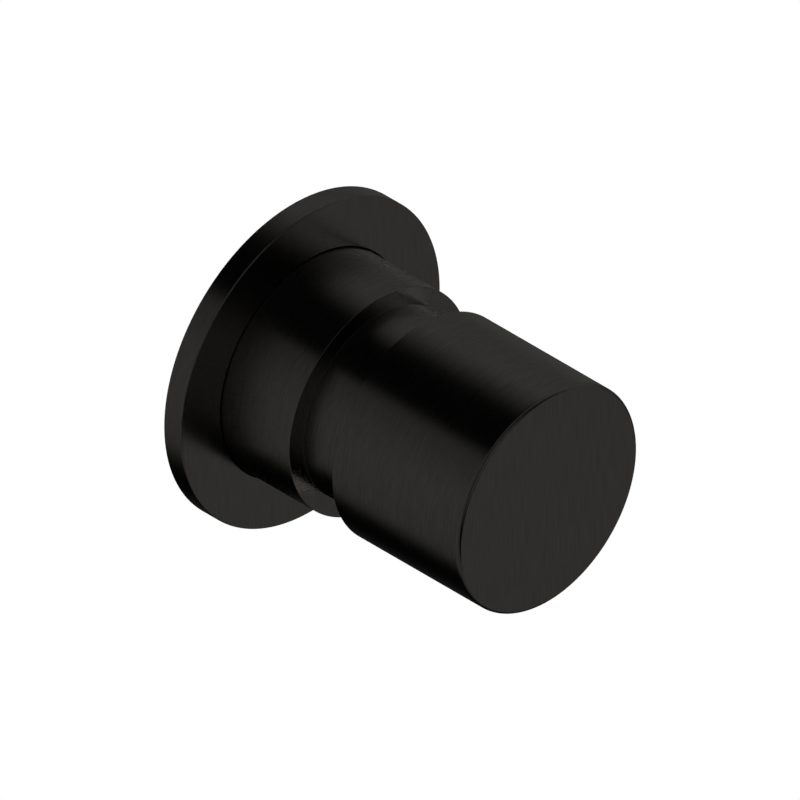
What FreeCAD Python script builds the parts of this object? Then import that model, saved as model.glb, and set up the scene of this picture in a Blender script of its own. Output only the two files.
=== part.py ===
"""Concealed shower mixer: a round wall trim with one knob, and the valve that it covers.

Every piece is drawn about the mixer's own axis, in a frame of its own: x to the right, y up and
z straight out of the finished wall towards the person who turns the knob. One placement then
stands the pieces up, so that in the finished part +Z is up, -Y points out of the wall and the
origin is the centre of the wall flange's back, on the finished wall.

Sizes are in millimetres and degrees. Radii grow outwards from the ceramic discs in one chain
(ports, discs, cartridge, valve mouth, collar, flange), and stations along the axis run back from
the collar's shoulder (knob, nut, cartridge, seat, pipes, bracket), so one size can change alone.
"""
import FreeCAD, Part
import math
import os
import re

import Sketcher

SIZES = {
    # Trim, seen in front of the wall
    "collar_reach": 21.6,
    "neck_reach": 10.8,
    "knob_length": 31.9,
    "knob_edge": 0.8,
    "collar_wall": 1.8,
    "shoulder_width": 3.5,
    "shoulder_thickness": 4.1,
    "shoulder_edge": 0.15,
    "neck_wall": 2.8,
    "neck_overlap": 4.0,
    "sleeve_tuck": 4.0,
    "flange_gap": 0.25,
    "flange_width": 9.75,
    "flange_thickness": 4.4,
    "flange_edge": 0.3,
    # Seals of the flange
    "gasket_inset": 3.75,
    "gasket_width": 4.5,
    "gasket_depth": 1.5,
    "ring_groove_inset": 1.2,
    "ring_groove_width": 2.0,
    "ring_groove_depth": 1.0,
    "ring_squeeze": 0.03,
    # Knob
    "knob_gap": 0.3,
    "knob_wall": 3.2,
    "knob_face": 4.0,
    "hub_recess": 5.0,
    "hub_wall": 3.45,
    "insert_proud": 0.4,
    "insert_length": 14.0,
    "insert_wall": 2.5,
    "insert_flat": 1.0,
    "insert_fit": 0.05,
    "glide_inset": 0.9,
    "glide_width": 2.0,
    "glide_depth": 1.0,
    "glide_fit": 0.05,
    "knob_running_fit": 0.08,
    "grub_radius": 1.95,
    "grub_length": 5.0,
    "grub_inset": 7.0,
    "grub_socket": 1.0,
    "key_hole_radius": 2.4,
    "screw_fit": 0.05,
    # Spindle extension and its screw
    "extension_radius": 6.5,
    "extension_gap": 0.2,
    "driver_tip": 5.5,
    "driver_depth": 0.6,
    "driver_reach": 12.5,
    "extension_screw_radius": 1.95,
    "extension_bore_gap": 0.2,
    "extension_head_radius": 3.5,
    "extension_head_height": 4.0,
    "extension_head_room": 4.5,
    "extension_screw_grip": 7.0,
    "extension_hole_grip": 8.5,
    "extension_socket": 1.5,
    # Spindle, its splines and stops
    "spindle_radius": 6.0,
    "shaft_fit": 0.05,
    "spline_tip": 4.0,
    "spline_depth": 0.5,
    "spline_teeth": 20,
    "spline_fit": 0.1,
    "spline_land": 2.0,
    "spindle_engagement": 6.0,
    "foot_thickness": 3.0,
    "foot_inset": 2.0,
    "tongue_width": 5.0,
    "tongue_reach": 8.0,
    "tongue_depth": 2.5,
    "tongue_fit": 0.1,
    "seal_pitch": 3.6,
    "seal_first": 2.2,
    "seal_groove_depth": 1.3,
    "seal_groove_width": 1.8,
    "washer_thickness": 1.0,
    "running_gap": 0.1,
    "turn_range": 110.0,
    "stop_margin": 0.6,
    "stop_middle": 90.0,
    "arm_thickness": 3.0,
    "arm_sweep": 24.0,
    "arm_hub_wall": 3.0,
    "arm_clearance": 0.3,
    "arm_inset": 0.6,
    "limit_thickness": 3.0,
    "limit_wall": 2.2,
    "limit_gap": 0.1,
    "limit_bore_gap": 0.4,
    "peg_count": 12,
    "peg_radius": 0.8,
    "peg_height": 1.5,
    "peg_fit": 0.1,
    # Ceramic discs, ports and their seals
    "port_radius": 2.9,
    "port_seal_room": 1.5,
    "port_wall": 1.2,
    "port_half_width": 2.6,
    "kidney_sweep": 60.0,
    "lobe_sweep": 50.0,
    "cold_lobe": -65.0,
    "hot_lobe": 75.0,
    "lobe_centre": 4.5,
    "lobe_depth": 2.5,
    "disc_land": 2.5,
    "disc_step": 1.1,
    "disc_gap": 0.3,
    "disc_thickness": 4.0,
    "disc_chamfer": 0.3,
    "notch_width": 4.0,
    "notch_depth": 1.6,
    "notch_fit": 0.1,
    "key_width": 3.0,
    "key_depth": 1.2,
    "carrier_thickness": 4.9,
    "seal_land": 1.6,
    "seal_height": 1.2,
    "seal_fit": 0.1,
    "seal_end_angle": 8.0,
    "seal_fit_angle": 0.6,
    # Cartridge case
    "housing_wall": 2.0,
    "roof_thickness": 3.0,
    "nose_height": 8.0,
    "nose_wall": 4.95,
    "base_thickness": 7.0,
    "spigot_height": 2.0,
    "spigot_fit": 0.1,
    "dowel_radius": 1.8,
    "dowel_height": 2.0,
    "dowel_pitch": 12.5,
    "dowel_fit": 0.1,
    # Retaining nut and valve mouth
    "cartridge_fit": 0.1,
    "thread_step": 1.1,
    "thread_fit": 0.1,
    "mouth_wall": 2.0,
    "nut_headroom": 1.0,
    "nut_head": 5.5,
    "nut_thread": 10.5,
    "nut_bore_gap": 0.2,
    "nut_corner_inset": 1.1795,
    "nut_chamfer": 0.5,
    "mouth_groove_inset": 2.5,
    # Valve body casting
    "barrel_step": 2.4,
    "barrel_drop": 12.0,
    "barrel_round": 2.0,
    "seat_thickness": 15.5,
    "back_depth": 13.0,
    "boss_stand": 11.0,
    "boss_wall": 3.2,
    "grip_length": 8.0,
    "grip_step": 0.5,
    "pipe_thread_radius": 9.32,
    "pipe_thread_depth": 14.0,
    "pipe_mouth_chamfer": 0.9,
    "waterway_radius": 4.5,
    "waterway_overrun": 0.8,
    # Plug in the outlet that isn't used
    "plug_thread": 11.0,
    "plug_head": 3.0,
    "plug_head_step": 2.9,
    "plug_socket": 5.0,
    "plug_socket_depth": 7.0,
    "plug_washer_thickness": 1.5,
    "plug_washer_gap": 1.2,
    # Fixing bracket
    "bracket_sheet": 2.0,
    "bracket_drop": 5.0,
    "bracket_centre": 22.0,
    "bracket_ramp": 5.0,
    "bracket_ear": 25.0,
    "bracket_half_width": 23.0,
    "bracket_corner": 4.0,
    "bracket_bend": 1.5,
    "fixing_radius": 2.75,
    "fixing_end": 10.0,
    "fixing_side": 7.0,
    "bracket_screw_pitch": 14.0,
    "bracket_screw_radius": 2.45,
    "bracket_screw_grip": 6.0,
    "bracket_screw_hole": 7.0,
    "bracket_hole_gap": 0.2,
    "bracket_head_radius": 4.6,
    "bracket_head_height": 2.6,
    "bracket_socket": 1.5,
}

# How often a shape comes round the axis, and the sides of sockets, nuts and wrench grips
PAIR = "2"
BOSSES = "4"
HEXAGON_SIDE_COUNT = 6
OCTAGON_SIDE_COUNT = 8

# Two places or radii that differ by less than this, in millimetres, are the same
SAME_PLACE = 1e-4

# Radii, from the water ports outwards
SEAL_POCKET = "(port_radius + port_seal_room)"
PORT_PITCH = f"(2 * {SEAL_POCKET} + port_wall)"
PORT_OUT = f"({PORT_PITCH} + port_half_width)"
PORT_IN = f"({PORT_PITCH} - port_half_width)"
FIXED_DISC = f"({PORT_OUT} + disc_land)"
MOVING_DISC = f"({FIXED_DISC} - disc_step)"
HOUSING_BORE = f"({FIXED_DISC} + disc_gap)"
CARTRIDGE = f"({HOUSING_BORE} + housing_wall)"
CAVITY = f"({CARTRIDGE} + cartridge_fit)"
MOUTH_BORE = f"({CAVITY} + thread_step)"
NUT = f"({MOUTH_BORE} - thread_fit)"
MOUTH = f"({MOUTH_BORE} + mouth_wall)"
SLEEVE_BORE = f"({MOUTH} + thread_fit)"
COLLAR = f"({SLEEVE_BORE} + collar_wall)"
FLANGE_HOLE = f"({COLLAR} + flange_gap)"
FLANGE = f"({FLANGE_HOLE} + flange_width)"
NECK = f"({COLLAR} - shoulder_width)"
NECK_BORE = f"({NECK} - neck_wall)"
KNOB_BORE = f"({NECK} + knob_gap)"
KNOB = f"({KNOB_BORE} + knob_wall)"
INSERT = "(driver_tip + insert_wall)"
HUB_BORE = f"({INSERT} + insert_fit)"
HUB = f"({HUB_BORE} + hub_wall)"
NOSE = "(spindle_radius + shaft_fit + nose_wall)"
NUT_BORE = f"({NOSE} + nut_bore_gap)"
NUT_FLAT = f"(({NUT} - nut_corner_inset) * cos({180 / HEXAGON_SIDE_COUNT}deg))"
FOOT = f"({MOVING_DISC} - foot_inset)"
SEAL_ROOT = "(spindle_radius - seal_groove_depth)"
BARREL = f"({MOUTH} + barrel_step)"
BOSS_REACH = f"({BARREL} + boss_stand)"
BOSS = "(pipe_thread_radius + boss_wall)"
GRIP_FLAT = f"({BOSS} + grip_step)"

# Stations along the axis, from the user back into the wall
SHOULDER = "collar_reach"
KNOB_BACK = "(collar_reach + neck_reach)"
KNOB_FRONT = f"({KNOB_BACK} + knob_length)"
KNOB_FLOOR = f"({KNOB_FRONT} - knob_face)"
NECK_END = f"({KNOB_BACK} + neck_overlap)"
HUB_BACK = f"({KNOB_BACK} + hub_recess)"
INSERT_BACK = f"({HUB_BACK} - insert_proud)"
INSERT_FRONT = f"({INSERT_BACK} + insert_length)"
DRIVER_FRONT = f"({INSERT_BACK} + driver_reach)"
GRUB = f"({INSERT_BACK} + grub_inset)"
COLLAR_FLOOR = "(collar_reach - shoulder_thickness)"
NUT_TOP = f"({COLLAR_FLOOR} - nut_headroom)"
MOUTH_TOP = f"({NUT_TOP} - nut_head)"
SHELF = f"({MOUTH_TOP} - nut_thread)"
NOSE_TOP = f"({SHELF} + nose_height)"
LIMIT_TOP = f"({NOSE_TOP} + limit_thickness)"
ARM_BACK = f"({LIMIT_TOP} + arm_clearance)"
ARM_TOP = f"({ARM_BACK} + arm_thickness)"
SPINDLE_TOP = f"({ARM_TOP} + spindle_engagement)"
EXTENSION_BACK = f"({ARM_TOP} + extension_gap)"
ROOF = f"({SHELF} - roof_thickness)"
WASHER_BACK = f"({ROOF} - washer_thickness)"
FOOT_FRONT = f"({WASHER_BACK} - running_gap)"
FOOT_BACK = f"({FOOT_FRONT} - foot_thickness)"
CARRIER_BACK = f"({FOOT_BACK} - carrier_thickness)"
LAPPED_FACE = f"({CARRIER_BACK} - disc_thickness)"
BASE_TOP = f"({LAPPED_FACE} - disc_thickness)"
SEAT = f"({BASE_TOP} - base_thickness)"
BASE_RIM = f"({BASE_TOP} - spigot_height)"
PIPES = f"({SEAT} - seat_thickness)"
BACK = f"({PIPES} - back_depth)"
BARREL_TOP = f"({SHELF} - barrel_drop)"
SLEEVE_BACK = "-sleeve_tuck"
EAR_FRONT = f"({BACK} - bracket_drop)"

document = FreeCAD.newDocument("ShowerMixer")
sheet = document.addObject("Spreadsheet::Sheet", "Sizes")
for row, (alias, size) in enumerate(SIZES.items(), start=1):
    sheet.set(f"A{row}", alias)
    sheet.set(f"B{row}", str(size))
    sheet.setAlias(f"B{row}", alias)
document.recompute()

# The mixer's axis leaves the wall along -Y, with the drawings' y upwards
STAND_UP = FreeCAD.Placement(FreeCAD.Vector(0, 0, 0), FreeCAD.Rotation(FreeCAD.Vector(1, 0, 0), 90))
UPSIDE_DOWN = FreeCAD.Rotation(FreeCAD.Vector(1, 0, 0), 180)
pieces = []


def bound(formula):
    """The formula with each size's name pointing at its cell of the sheet."""
    return re.sub(r"[a-z_]+", lambda word: f"Sizes.{word[0]}" if word[0] in SIZES else word[0], formula)


def value(formula):
    return float(sheet.evalExpression(bound(formula)))


def kept(piece, label):
    """Give a finished sub-part its label and stand it up on the wall."""
    piece.Label = label
    piece.Placement = STAND_UP
    pieces.append(piece)
    return piece


def new_body(label):
    return kept(document.addObject("PartDesign::Body", label), label)


def origin_of(body, role):
    return next(item for item in body.Origin.OriginFeatures if item.Role == role)


def new_sketch(body, name, plane, lift=None, turn=None, turn_axis=(0, 1, 0)):
    """A sketch on one of the body's own planes, lifted along its normal or turned about an axis."""
    sketch = body.newObject("Sketcher::SketchObject", f"{body.Label}_{name}")
    sketch.AttachmentSupport = (origin_of(body, plane), [""])
    sketch.MapMode = "FlatFace"
    if lift:
        sketch.setExpression("AttachmentOffset.Base.z", bound(lift))
    if turn:
        axis = FreeCAD.Vector(*turn_axis)
        rotation = FreeCAD.Rotation(axis, value(turn))
        sketch.AttachmentOffset = FreeCAD.Placement(FreeCAD.Vector(0, 0, 0), rotation)
        sketch.setExpression("AttachmentOffset.Rotation.Angle", bound(turn))
    return sketch


def place_point(sketch, element, end, point):
    """Hold one point of the sketch at two formulas, measured from the sketch's origin."""
    for kind, formula, axis in (("DistanceX", point[0], -2), ("DistanceY", point[1], -1)):
        if formula == "0":
            sketch.addConstraint(Sketcher.Constraint("PointOnObject", element, end, axis))
            continue
        index = sketch.addConstraint(Sketcher.Constraint(kind, -1, 1, element, end, value(formula)))
        sketch.setExpression(f"Constraints[{index}]", bound(formula))


def add_outline(sketch, points):
    """A closed outline of straight lines through points that are given as pairs of formulas."""
    corners = [FreeCAD.Vector(value(x), value(y), 0) for x, y in points]
    first = sketch.GeometryCount
    count = len(corners)
    for index in range(count):
        sketch.addGeometry(Part.LineSegment(corners[index], corners[(index + 1) % count]))
    for index in range(count):
        following = first + (index + 1) % count
        sketch.addConstraint(Sketcher.Constraint("Coincident", first + index, 2, following, 1))
    for index, point in enumerate(points):
        place_point(sketch, first + index, 1, point)
    return sketch


def add_circle(sketch, radius, centre=("0", "0")):
    middle = FreeCAD.Vector(value(centre[0]), value(centre[1]), 0)
    circle = sketch.addGeometry(Part.Circle(middle, FreeCAD.Vector(0, 0, 1), value(radius)))
    place_point(sketch, circle, 3, centre)
    index = sketch.addConstraint(Sketcher.Constraint("Radius", circle, value(radius)))
    sketch.setExpression(f"Constraints[{index}]", bound(radius))
    return sketch


def box(left, right, low, high):
    return [(left, low), (right, low), (right, high), (left, high)]


def polygon(flat, sides):
    """Corners of a regular polygon whose flats lie at a distance from its centre."""
    corner = f"{flat} / cos({180 / sides}deg)"
    angles = [(index + 0.5) * 360 / sides for index in range(sides)]
    return [(f"{corner} * cos({angle}deg)", f"{corner} * sin({angle}deg)") for angle in angles]


def hexagon(flat):
    return polygon(flat, HEXAGON_SIDE_COUNT)


def finish_feature(body, feature, adds):
    """Recompute, and stop if the feature failed, or left the material as it was."""
    before = feature.BaseFeature.Shape.Volume if feature.BaseFeature else 0.0
    document.recompute()
    if not feature.isValid() or feature.Shape.isNull():
        raise ValueError(f"{feature.Name} can't be made")
    change = feature.Shape.Volume - before
    if change * (1 if adds else -1) <= 0:
        raise ValueError(f"{feature.Name} changes the volume by {change:.3f}")
    body.Tip = feature
    return feature


def turned(body, name, points, cut=False, middle=None, sweep=None):
    """Turn an outline in the xz plane about the axis, all round or over a sweep about a middle angle."""
    sketch = add_outline(new_sketch(body, name, "XZ_Plane", turn=middle), points)
    kind = "PartDesign::Groove" if cut else "PartDesign::Revolution"
    feature = body.newObject(kind, f"{body.Label}_{name}_turned")
    feature.Profile = sketch
    feature.ReferenceAxis = (sketch, ["V_Axis"])
    feature.Angle = 360
    if sweep:
        feature.Midplane = True
        feature.setExpression("Angle", bound(sweep))
    return finish_feature(body, feature, adds=not cut)


def extruded(body, name, sketch, length, cut=False, reverse=False, midplane=False):
    """Pad a sketch along its normal, or pocket it the other way; reverse turns either round."""
    feature = body.newObject("PartDesign::Pocket" if cut else "PartDesign::Pad", f"{body.Label}_{name}_run")
    feature.Profile = sketch
    feature.Reversed = reverse
    feature.Midplane = midplane
    feature.setExpression("Length", bound(length))
    return finish_feature(body, feature, adds=not cut)


def hole(body, name, plane, radius, lift, depth, centre=("0", "0"), reverse=False):
    """A round pocket that starts at a lifted plane; reverse cuts towards the plane's normal."""
    sketch = add_circle(new_sketch(body, name, plane, lift=lift), radius, centre)
    return extruded(body, name, sketch, depth, cut=True, reverse=reverse)


def repeated(body, name, features, count):
    """The same features again and again round the axis."""
    pattern = body.newObject("PartDesign::PolarPattern", f"{body.Label}_{name}_pattern")
    pattern.Originals = features
    pattern.Axis = (origin_of(body, "Z_Axis"), [""])
    pattern.Angle = 360
    pattern.setExpression("Occurrences", bound(count))
    body.Tip = pattern
    document.recompute()
    if not pattern.isValid() or pattern.Shape.isNull():
        raise ValueError(f"{pattern.Name} can't be made")
    return pattern


def ring_edges(feature, rings):
    """Names of the feature's round edges about the axis with these radii and stations."""
    wanted = [(value(radius), value(station)) for radius, station in rings]
    names = []
    for number, edge in enumerate(feature.Shape.Edges, start=1):
        if not isinstance(edge.Curve, Part.Circle):
            continue
        centre = edge.Curve.Center
        for radius, station in wanted:
            if abs(edge.Curve.Radius - radius) < SAME_PLACE and abs(centre.z - station) < SAME_PLACE:
                if math.hypot(centre.x, centre.y) < SAME_PLACE:
                    names.append(f"Edge{number}")
    if not names:
        raise ValueError(f"{feature.Name} has no such edges")
    return names


def eased(body, name, kind, edges, size):
    """Round (Fillet) or bevel (Chamfer) the named edges of the body's last feature."""
    base = body.Tip
    feature = body.newObject(f"PartDesign::{kind}", f"{body.Label}_{name}")
    feature.Base = (base, edges)
    feature.setExpression("Radius" if kind == "Fillet" else "Size", bound(size))
    body.Tip = feature
    document.recompute()
    if not feature.isValid() or feature.Shape.isNull():
        raise ValueError(f"{feature.Name} can't be made")
    return feature


def male_spline(body, name, tip, depth, low, high):
    """V grooves cut along a shaft between two stations, one for each tooth."""
    root = f"({tip} - {depth})"
    beyond = f"({tip} + {depth})"
    half = f"(2 * {tip} * tan(180deg / spline_teeth - spline_land * 1deg))"
    corners = [(root, "0"), (beyond, half), (beyond, f"-{half}")]
    sketch = add_outline(new_sketch(body, name, "XY_Plane", lift=high), corners)
    groove = extruded(body, name, sketch, f"{high} - ({low})", cut=True)
    return repeated(body, name, [groove], "spline_teeth")


def female_spline(body, name, tip, depth, low, high):
    """A bore between two stations whose grooves clear the teeth of the matching shaft."""
    hole(body, f"{name}_bore", "XY_Plane", f"({tip} - {depth} + spline_fit)", high, f"{high} - ({low})")
    outer = f"({tip} + spline_fit)"
    inner = f"({tip} - {depth} - spline_fit)"
    wide = f"({inner} * tan(180deg / spline_teeth) + spline_fit)"
    narrow = f"({outer} * tan(spline_land * 1deg) + spline_fit)"
    corners = [(inner, f"-{wide}"), (outer, f"-{narrow}"), (outer, narrow), (inner, wide)]
    sketch = new_sketch(body, name, "XY_Plane", lift=high, turn="180 / spline_teeth", turn_axis=(0, 0, 1))
    groove = extruded(body, name, add_outline(sketch, corners), f"{high} - ({low})", cut=True)
    return repeated(body, name, [groove], "spline_teeth")


def seal_rings(label, rings):
    """Round seals, each given as middle radius, section radius, station and distance to the side."""
    group = document.addObject("Part::Compound", label)
    toruses = []
    for index, (middle, section, station, side) in enumerate(rings):
        torus = document.addObject("Part::Torus", f"{label}_{index}")
        torus.setExpression("Radius1", bound(middle))
        torus.setExpression("Radius2", bound(section))
        torus.setExpression("Placement.Base.x", bound(side))
        torus.setExpression("Placement.Base.z", bound(station))
        toruses.append(torus)
    group.Links = toruses
    document.recompute()
    return kept(group, label)


def socket_head_screw(body, radius, head, head_height, tip, seat, socket):
    """A cap screw about the body's axis: its shank runs back from the seat under its head."""
    top = f"({seat} + {head_height})"
    turned(body, "screw", [("0", tip), (radius, tip), (radius, seat), (head, seat), (head, top), ("0", top)])
    sketch = add_outline(new_sketch(body, "socket", "XY_Plane", lift=top), hexagon(socket))
    extruded(body, "socket", sketch, f"{head_height} / 2", cut=True)


def make_escutcheon():
    """The round plate that covers the hole in the wall, turned from one disc."""
    body = new_body("escutcheon")
    turned(body, "plate", box(FLANGE_HOLE, FLANGE, "0", "flange_thickness"))
    gasket_in = f"({FLANGE_HOLE} + gasket_inset)"
    gasket_groove = box(gasket_in, f"{gasket_in} + gasket_width", "0", "gasket_depth")
    turned(body, "gasket_groove", gasket_groove, cut=True)
    groove = box(
        FLANGE_HOLE,
        f"{FLANGE_HOLE} + ring_groove_depth",
        "ring_groove_inset",
        "ring_groove_inset + ring_groove_width",
    )
    turned(body, "ring_groove", groove, cut=True)
    rim = ring_edges(body.Tip, [(FLANGE, "flange_thickness"), (FLANGE_HOLE, "flange_thickness")])
    eased(body, "front_edges", "Fillet", rim, "flange_edge")


def make_escutcheon_seals():
    body = new_body("wall_gasket")
    gasket_in = f"({FLANGE_HOLE} + gasket_inset)"
    outer = f"{gasket_in} + gasket_width - seal_fit"
    turned(body, "band", box(f"{gasket_in} + seal_fit", outer, "0", "gasket_depth"))
    room = "(flange_gap + ring_groove_depth)"
    middle = f"({COLLAR} + {room} / 2)"
    seal_rings(
        "escutcheon_o_ring",
        [(middle, f"{room} / 2 - ring_squeeze", "ring_groove_inset + ring_groove_width / 2", "0")],
    )


def make_trim_sleeve():
    """Collar, flat shoulder and neck, turned from one piece and screwed onto the valve's mouth."""
    body = new_body("trim_sleeve")
    points = [
        (SLEEVE_BORE, SLEEVE_BACK),
        (COLLAR, SLEEVE_BACK),
        (COLLAR, SHOULDER),
        (NECK, SHOULDER),
        (NECK, NECK_END),
        (NECK_BORE, NECK_END),
        (NECK_BORE, COLLAR_FLOOR),
        (SLEEVE_BORE, COLLAR_FLOOR),
    ]
    turned(body, "wall", points)
    groove_low = f"({NECK_END} - glide_inset - glide_width)"
    groove_high = f"({NECK_END} - glide_inset)"
    turned(body, "glide_groove", box(f"{NECK} - glide_depth", NECK, groove_low, groove_high), cut=True)
    edges = ring_edges(body.Tip, [(COLLAR, SHOULDER), (COLLAR, SLEEVE_BACK)])
    eased(body, "shoulder_edge", "Fillet", edges, "shoulder_edge")


def make_glide_ring():
    """The plastic ring in the neck's groove that the knob turns on."""
    body = new_body("glide_ring")
    low = f"({NECK_END} - glide_inset - glide_width + glide_fit)"
    high = f"({NECK_END} - glide_inset - glide_fit)"
    inner = f"({NECK} - glide_depth + glide_fit)"
    turned(body, "band", box(inner, f"({KNOB_BORE} - knob_running_fit)", low, high))


def make_knob():
    """A turned cup: its skirt goes over the neck's end and its hub takes the splined insert."""
    body = new_body("knob")
    points = [
        (KNOB_BORE, KNOB_BACK),
        (KNOB, KNOB_BACK),
        (KNOB, KNOB_FRONT),
        ("0", KNOB_FRONT),
        ("0", INSERT_FRONT),
        (HUB_BORE, INSERT_FRONT),
        (HUB_BORE, HUB_BACK),
        (HUB, HUB_BACK),
        (HUB, KNOB_FLOOR),
        (KNOB_BORE, KNOB_FLOOR),
    ]
    turned(body, "cup", points)
    centre = ("0", GRUB)
    hole(body, "grub_thread", "XZ_Plane", "grub_radius + screw_fit", "0", KNOB_BORE, centre, reverse=True)
    hole(body, "key_hole", "XZ_Plane", "key_hole_radius", HUB, KNOB, centre, reverse=True)
    eased(body, "front_edge", "Fillet", ring_edges(body.Tip, [(KNOB, KNOB_FRONT)]), "knob_edge")
    eased(body, "back_edge", "Fillet", ring_edges(body.Tip, [(KNOB, KNOB_BACK)]), "shoulder_edge")


def make_knob_insert():
    """The bush in the knob's hub: splined inside, with a flat for the grub screw outside."""
    body = new_body("knob_insert")
    turned(body, "bush", box("0", INSERT, INSERT_BACK, INSERT_FRONT))
    flat = f"({INSERT} - insert_flat)"
    sketch = new_sketch(body, "flat", "XZ_Plane", lift=flat)
    add_outline(sketch, box(f"-{INSERT}", INSERT, INSERT_BACK, INSERT_FRONT))
    extruded(body, "flat", sketch, "2 * insert_flat", cut=True, reverse=True)
    end = f"({DRIVER_FRONT} + extension_gap)"
    female_spline(body, "spline", "driver_tip", "driver_depth", INSERT_BACK, end)


def hang_down(body, station):
    """Turn a piece that is drawn outwards along z so that it hangs down, at a station of the axis."""
    body.Placement = FreeCAD.Placement(FreeCAD.Vector(0, 0, 0), UPSIDE_DOWN)
    body.setExpression("Placement.Base.y", bound(f"-{station}"))


def make_knob_grub_screw():
    """Tightened from below, through the skirt's key hole, onto the insert's flat."""
    body = new_body("knob_grub_screw")
    turned(body, "shank", box("0", "grub_radius", "0", "grub_length"))
    sketch = new_sketch(body, "socket", "XY_Plane", lift="grub_length")
    add_outline(sketch, hexagon("grub_socket"))
    extruded(body, "socket", sketch, "grub_length / 2", cut=True)
    hang_down(body, GRUB)
    body.setExpression("Placement.Base.z", bound(f"-({INSERT} - insert_flat)"))


def make_spindle_extension():
    """Reaches from the cartridge's short spindle to the knob, with a spline at each end."""
    body = new_body("spindle_extension")
    points = [
        ("0", EXTENSION_BACK),
        ("extension_radius", EXTENSION_BACK),
        ("extension_radius", INSERT_BACK),
        ("driver_tip", INSERT_BACK),
        ("driver_tip", DRIVER_FRONT),
        ("0", DRIVER_FRONT),
    ]
    turned(body, "rod", points)
    male_spline(body, "driver", "driver_tip", "driver_depth", INSERT_BACK, DRIVER_FRONT)
    socket_end = f"({SPINDLE_TOP} + extension_gap)"
    female_spline(body, "socket", "spline_tip", "spline_depth", EXTENSION_BACK, socket_end)
    bore = "extension_screw_radius + extension_bore_gap"
    hole(body, "bore", "XY_Plane", bore, DRIVER_FRONT, f"{DRIVER_FRONT} - {SPINDLE_TOP}")
    head = "extension_head_radius + extension_bore_gap"
    hole(body, "head_room", "XY_Plane", head, DRIVER_FRONT, "extension_head_room")


def make_extension_screw():
    body = new_body("extension_screw")
    seat = f"({DRIVER_FRONT} - extension_head_room)"
    tip = f"({SPINDLE_TOP} - extension_screw_grip)"
    socket_head_screw(
        body,
        "extension_screw_radius",
        "extension_head_radius",
        "extension_head_height",
        tip,
        seat,
        "extension_socket",
    )


def make_spindle():
    """The cartridge's stem: a foot with a driving tongue, two seal grooves and a spline."""
    body = new_body("spindle")
    points = [
        ("0", FOOT_BACK),
        (FOOT, FOOT_BACK),
        (FOOT, FOOT_FRONT),
        ("spindle_radius", FOOT_FRONT),
        ("spindle_radius", ARM_BACK),
        ("spline_tip", ARM_BACK),
        ("spline_tip", SPINDLE_TOP),
        ("0", SPINDLE_TOP),
    ]
    turned(body, "stem", points)
    half = "seal_groove_width / 2"
    for name, station in spindle_seal_stations():
        groove = box(SEAL_ROOT, "spindle_radius", f"{station} - {half}", f"{station} + {half}")
        turned(body, f"{name}_groove", groove, cut=True)
    sketch = new_sketch(body, "tongue", "XY_Plane", lift=FOOT_BACK)
    add_outline(sketch, box("-tongue_reach", "tongue_reach", "-tongue_width / 2", "tongue_width / 2"))
    extruded(body, "tongue", sketch, "tongue_depth", reverse=True)
    male_spline(body, "spline", "spline_tip", "spline_depth", ARM_BACK, SPINDLE_TOP)
    tapping = "extension_screw_radius + screw_fit"
    hole(body, "tapping", "XY_Plane", tapping, SPINDLE_TOP, "extension_hole_grip")


def spindle_seal_stations():
    first = f"({SHELF} + seal_first)"
    return [("inner_seal", first), ("outer_seal", f"({first} + seal_pitch)")]


def make_spindle_seals():
    room = "(seal_groove_depth + shaft_fit)"
    middle = f"({SEAL_ROOT} + {room} / 2)"
    section = f"{room} / 2 - ring_squeeze"
    stations = [station for _, station in spindle_seal_stations()]
    seal_rings("spindle_o_rings", [(middle, section, station, "0") for station in stations])


def make_stop_arm():
    """Splined onto the spindle; its finger swings between the two ends of the limit ring's wall."""
    body = new_body("stop_arm")
    hub = "(spline_tip + arm_hub_wall)"
    turned(body, "hub", box("0", hub, ARM_BACK, ARM_TOP))
    finger = box("spline_tip", f"({NOSE} - arm_inset)", ARM_BACK, ARM_TOP)
    turned(body, "finger", finger, middle="stop_middle - turn_range / 2", sweep="arm_sweep")
    female_spline(body, "spline", "spline_tip", "spline_depth", ARM_BACK, ARM_TOP)


def make_hot_limit_ring():
    """Pegged onto the cartridge's nose in steps; the wall's ends stop the arm, closed and hot."""
    body = new_body("hot_limit_ring")
    outer = f"({NOSE} - limit_gap)"
    turned(body, "ring", box("spindle_radius + limit_bore_gap", outer, NOSE_TOP, LIMIT_TOP))
    free = "(turn_range + arm_sweep + 2 * stop_margin)"
    wall = box(f"({outer} - limit_wall)", outer, NOSE_TOP, ARM_TOP)
    turned(body, "wall", wall, middle="stop_middle + 180", sweep=f"360 - {free}")
    sketch = new_sketch(body, "pegs", "XY_Plane", lift=NOSE_TOP)
    add_circle(sketch, "peg_radius", (peg_pitch(), "0"))
    add_circle(sketch, "peg_radius", (f"-{peg_pitch()}", "0"))
    extruded(body, "pegs", sketch, "peg_height", reverse=True)


def peg_pitch():
    return f"((spindle_radius + {NOSE}) / 2)"


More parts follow.
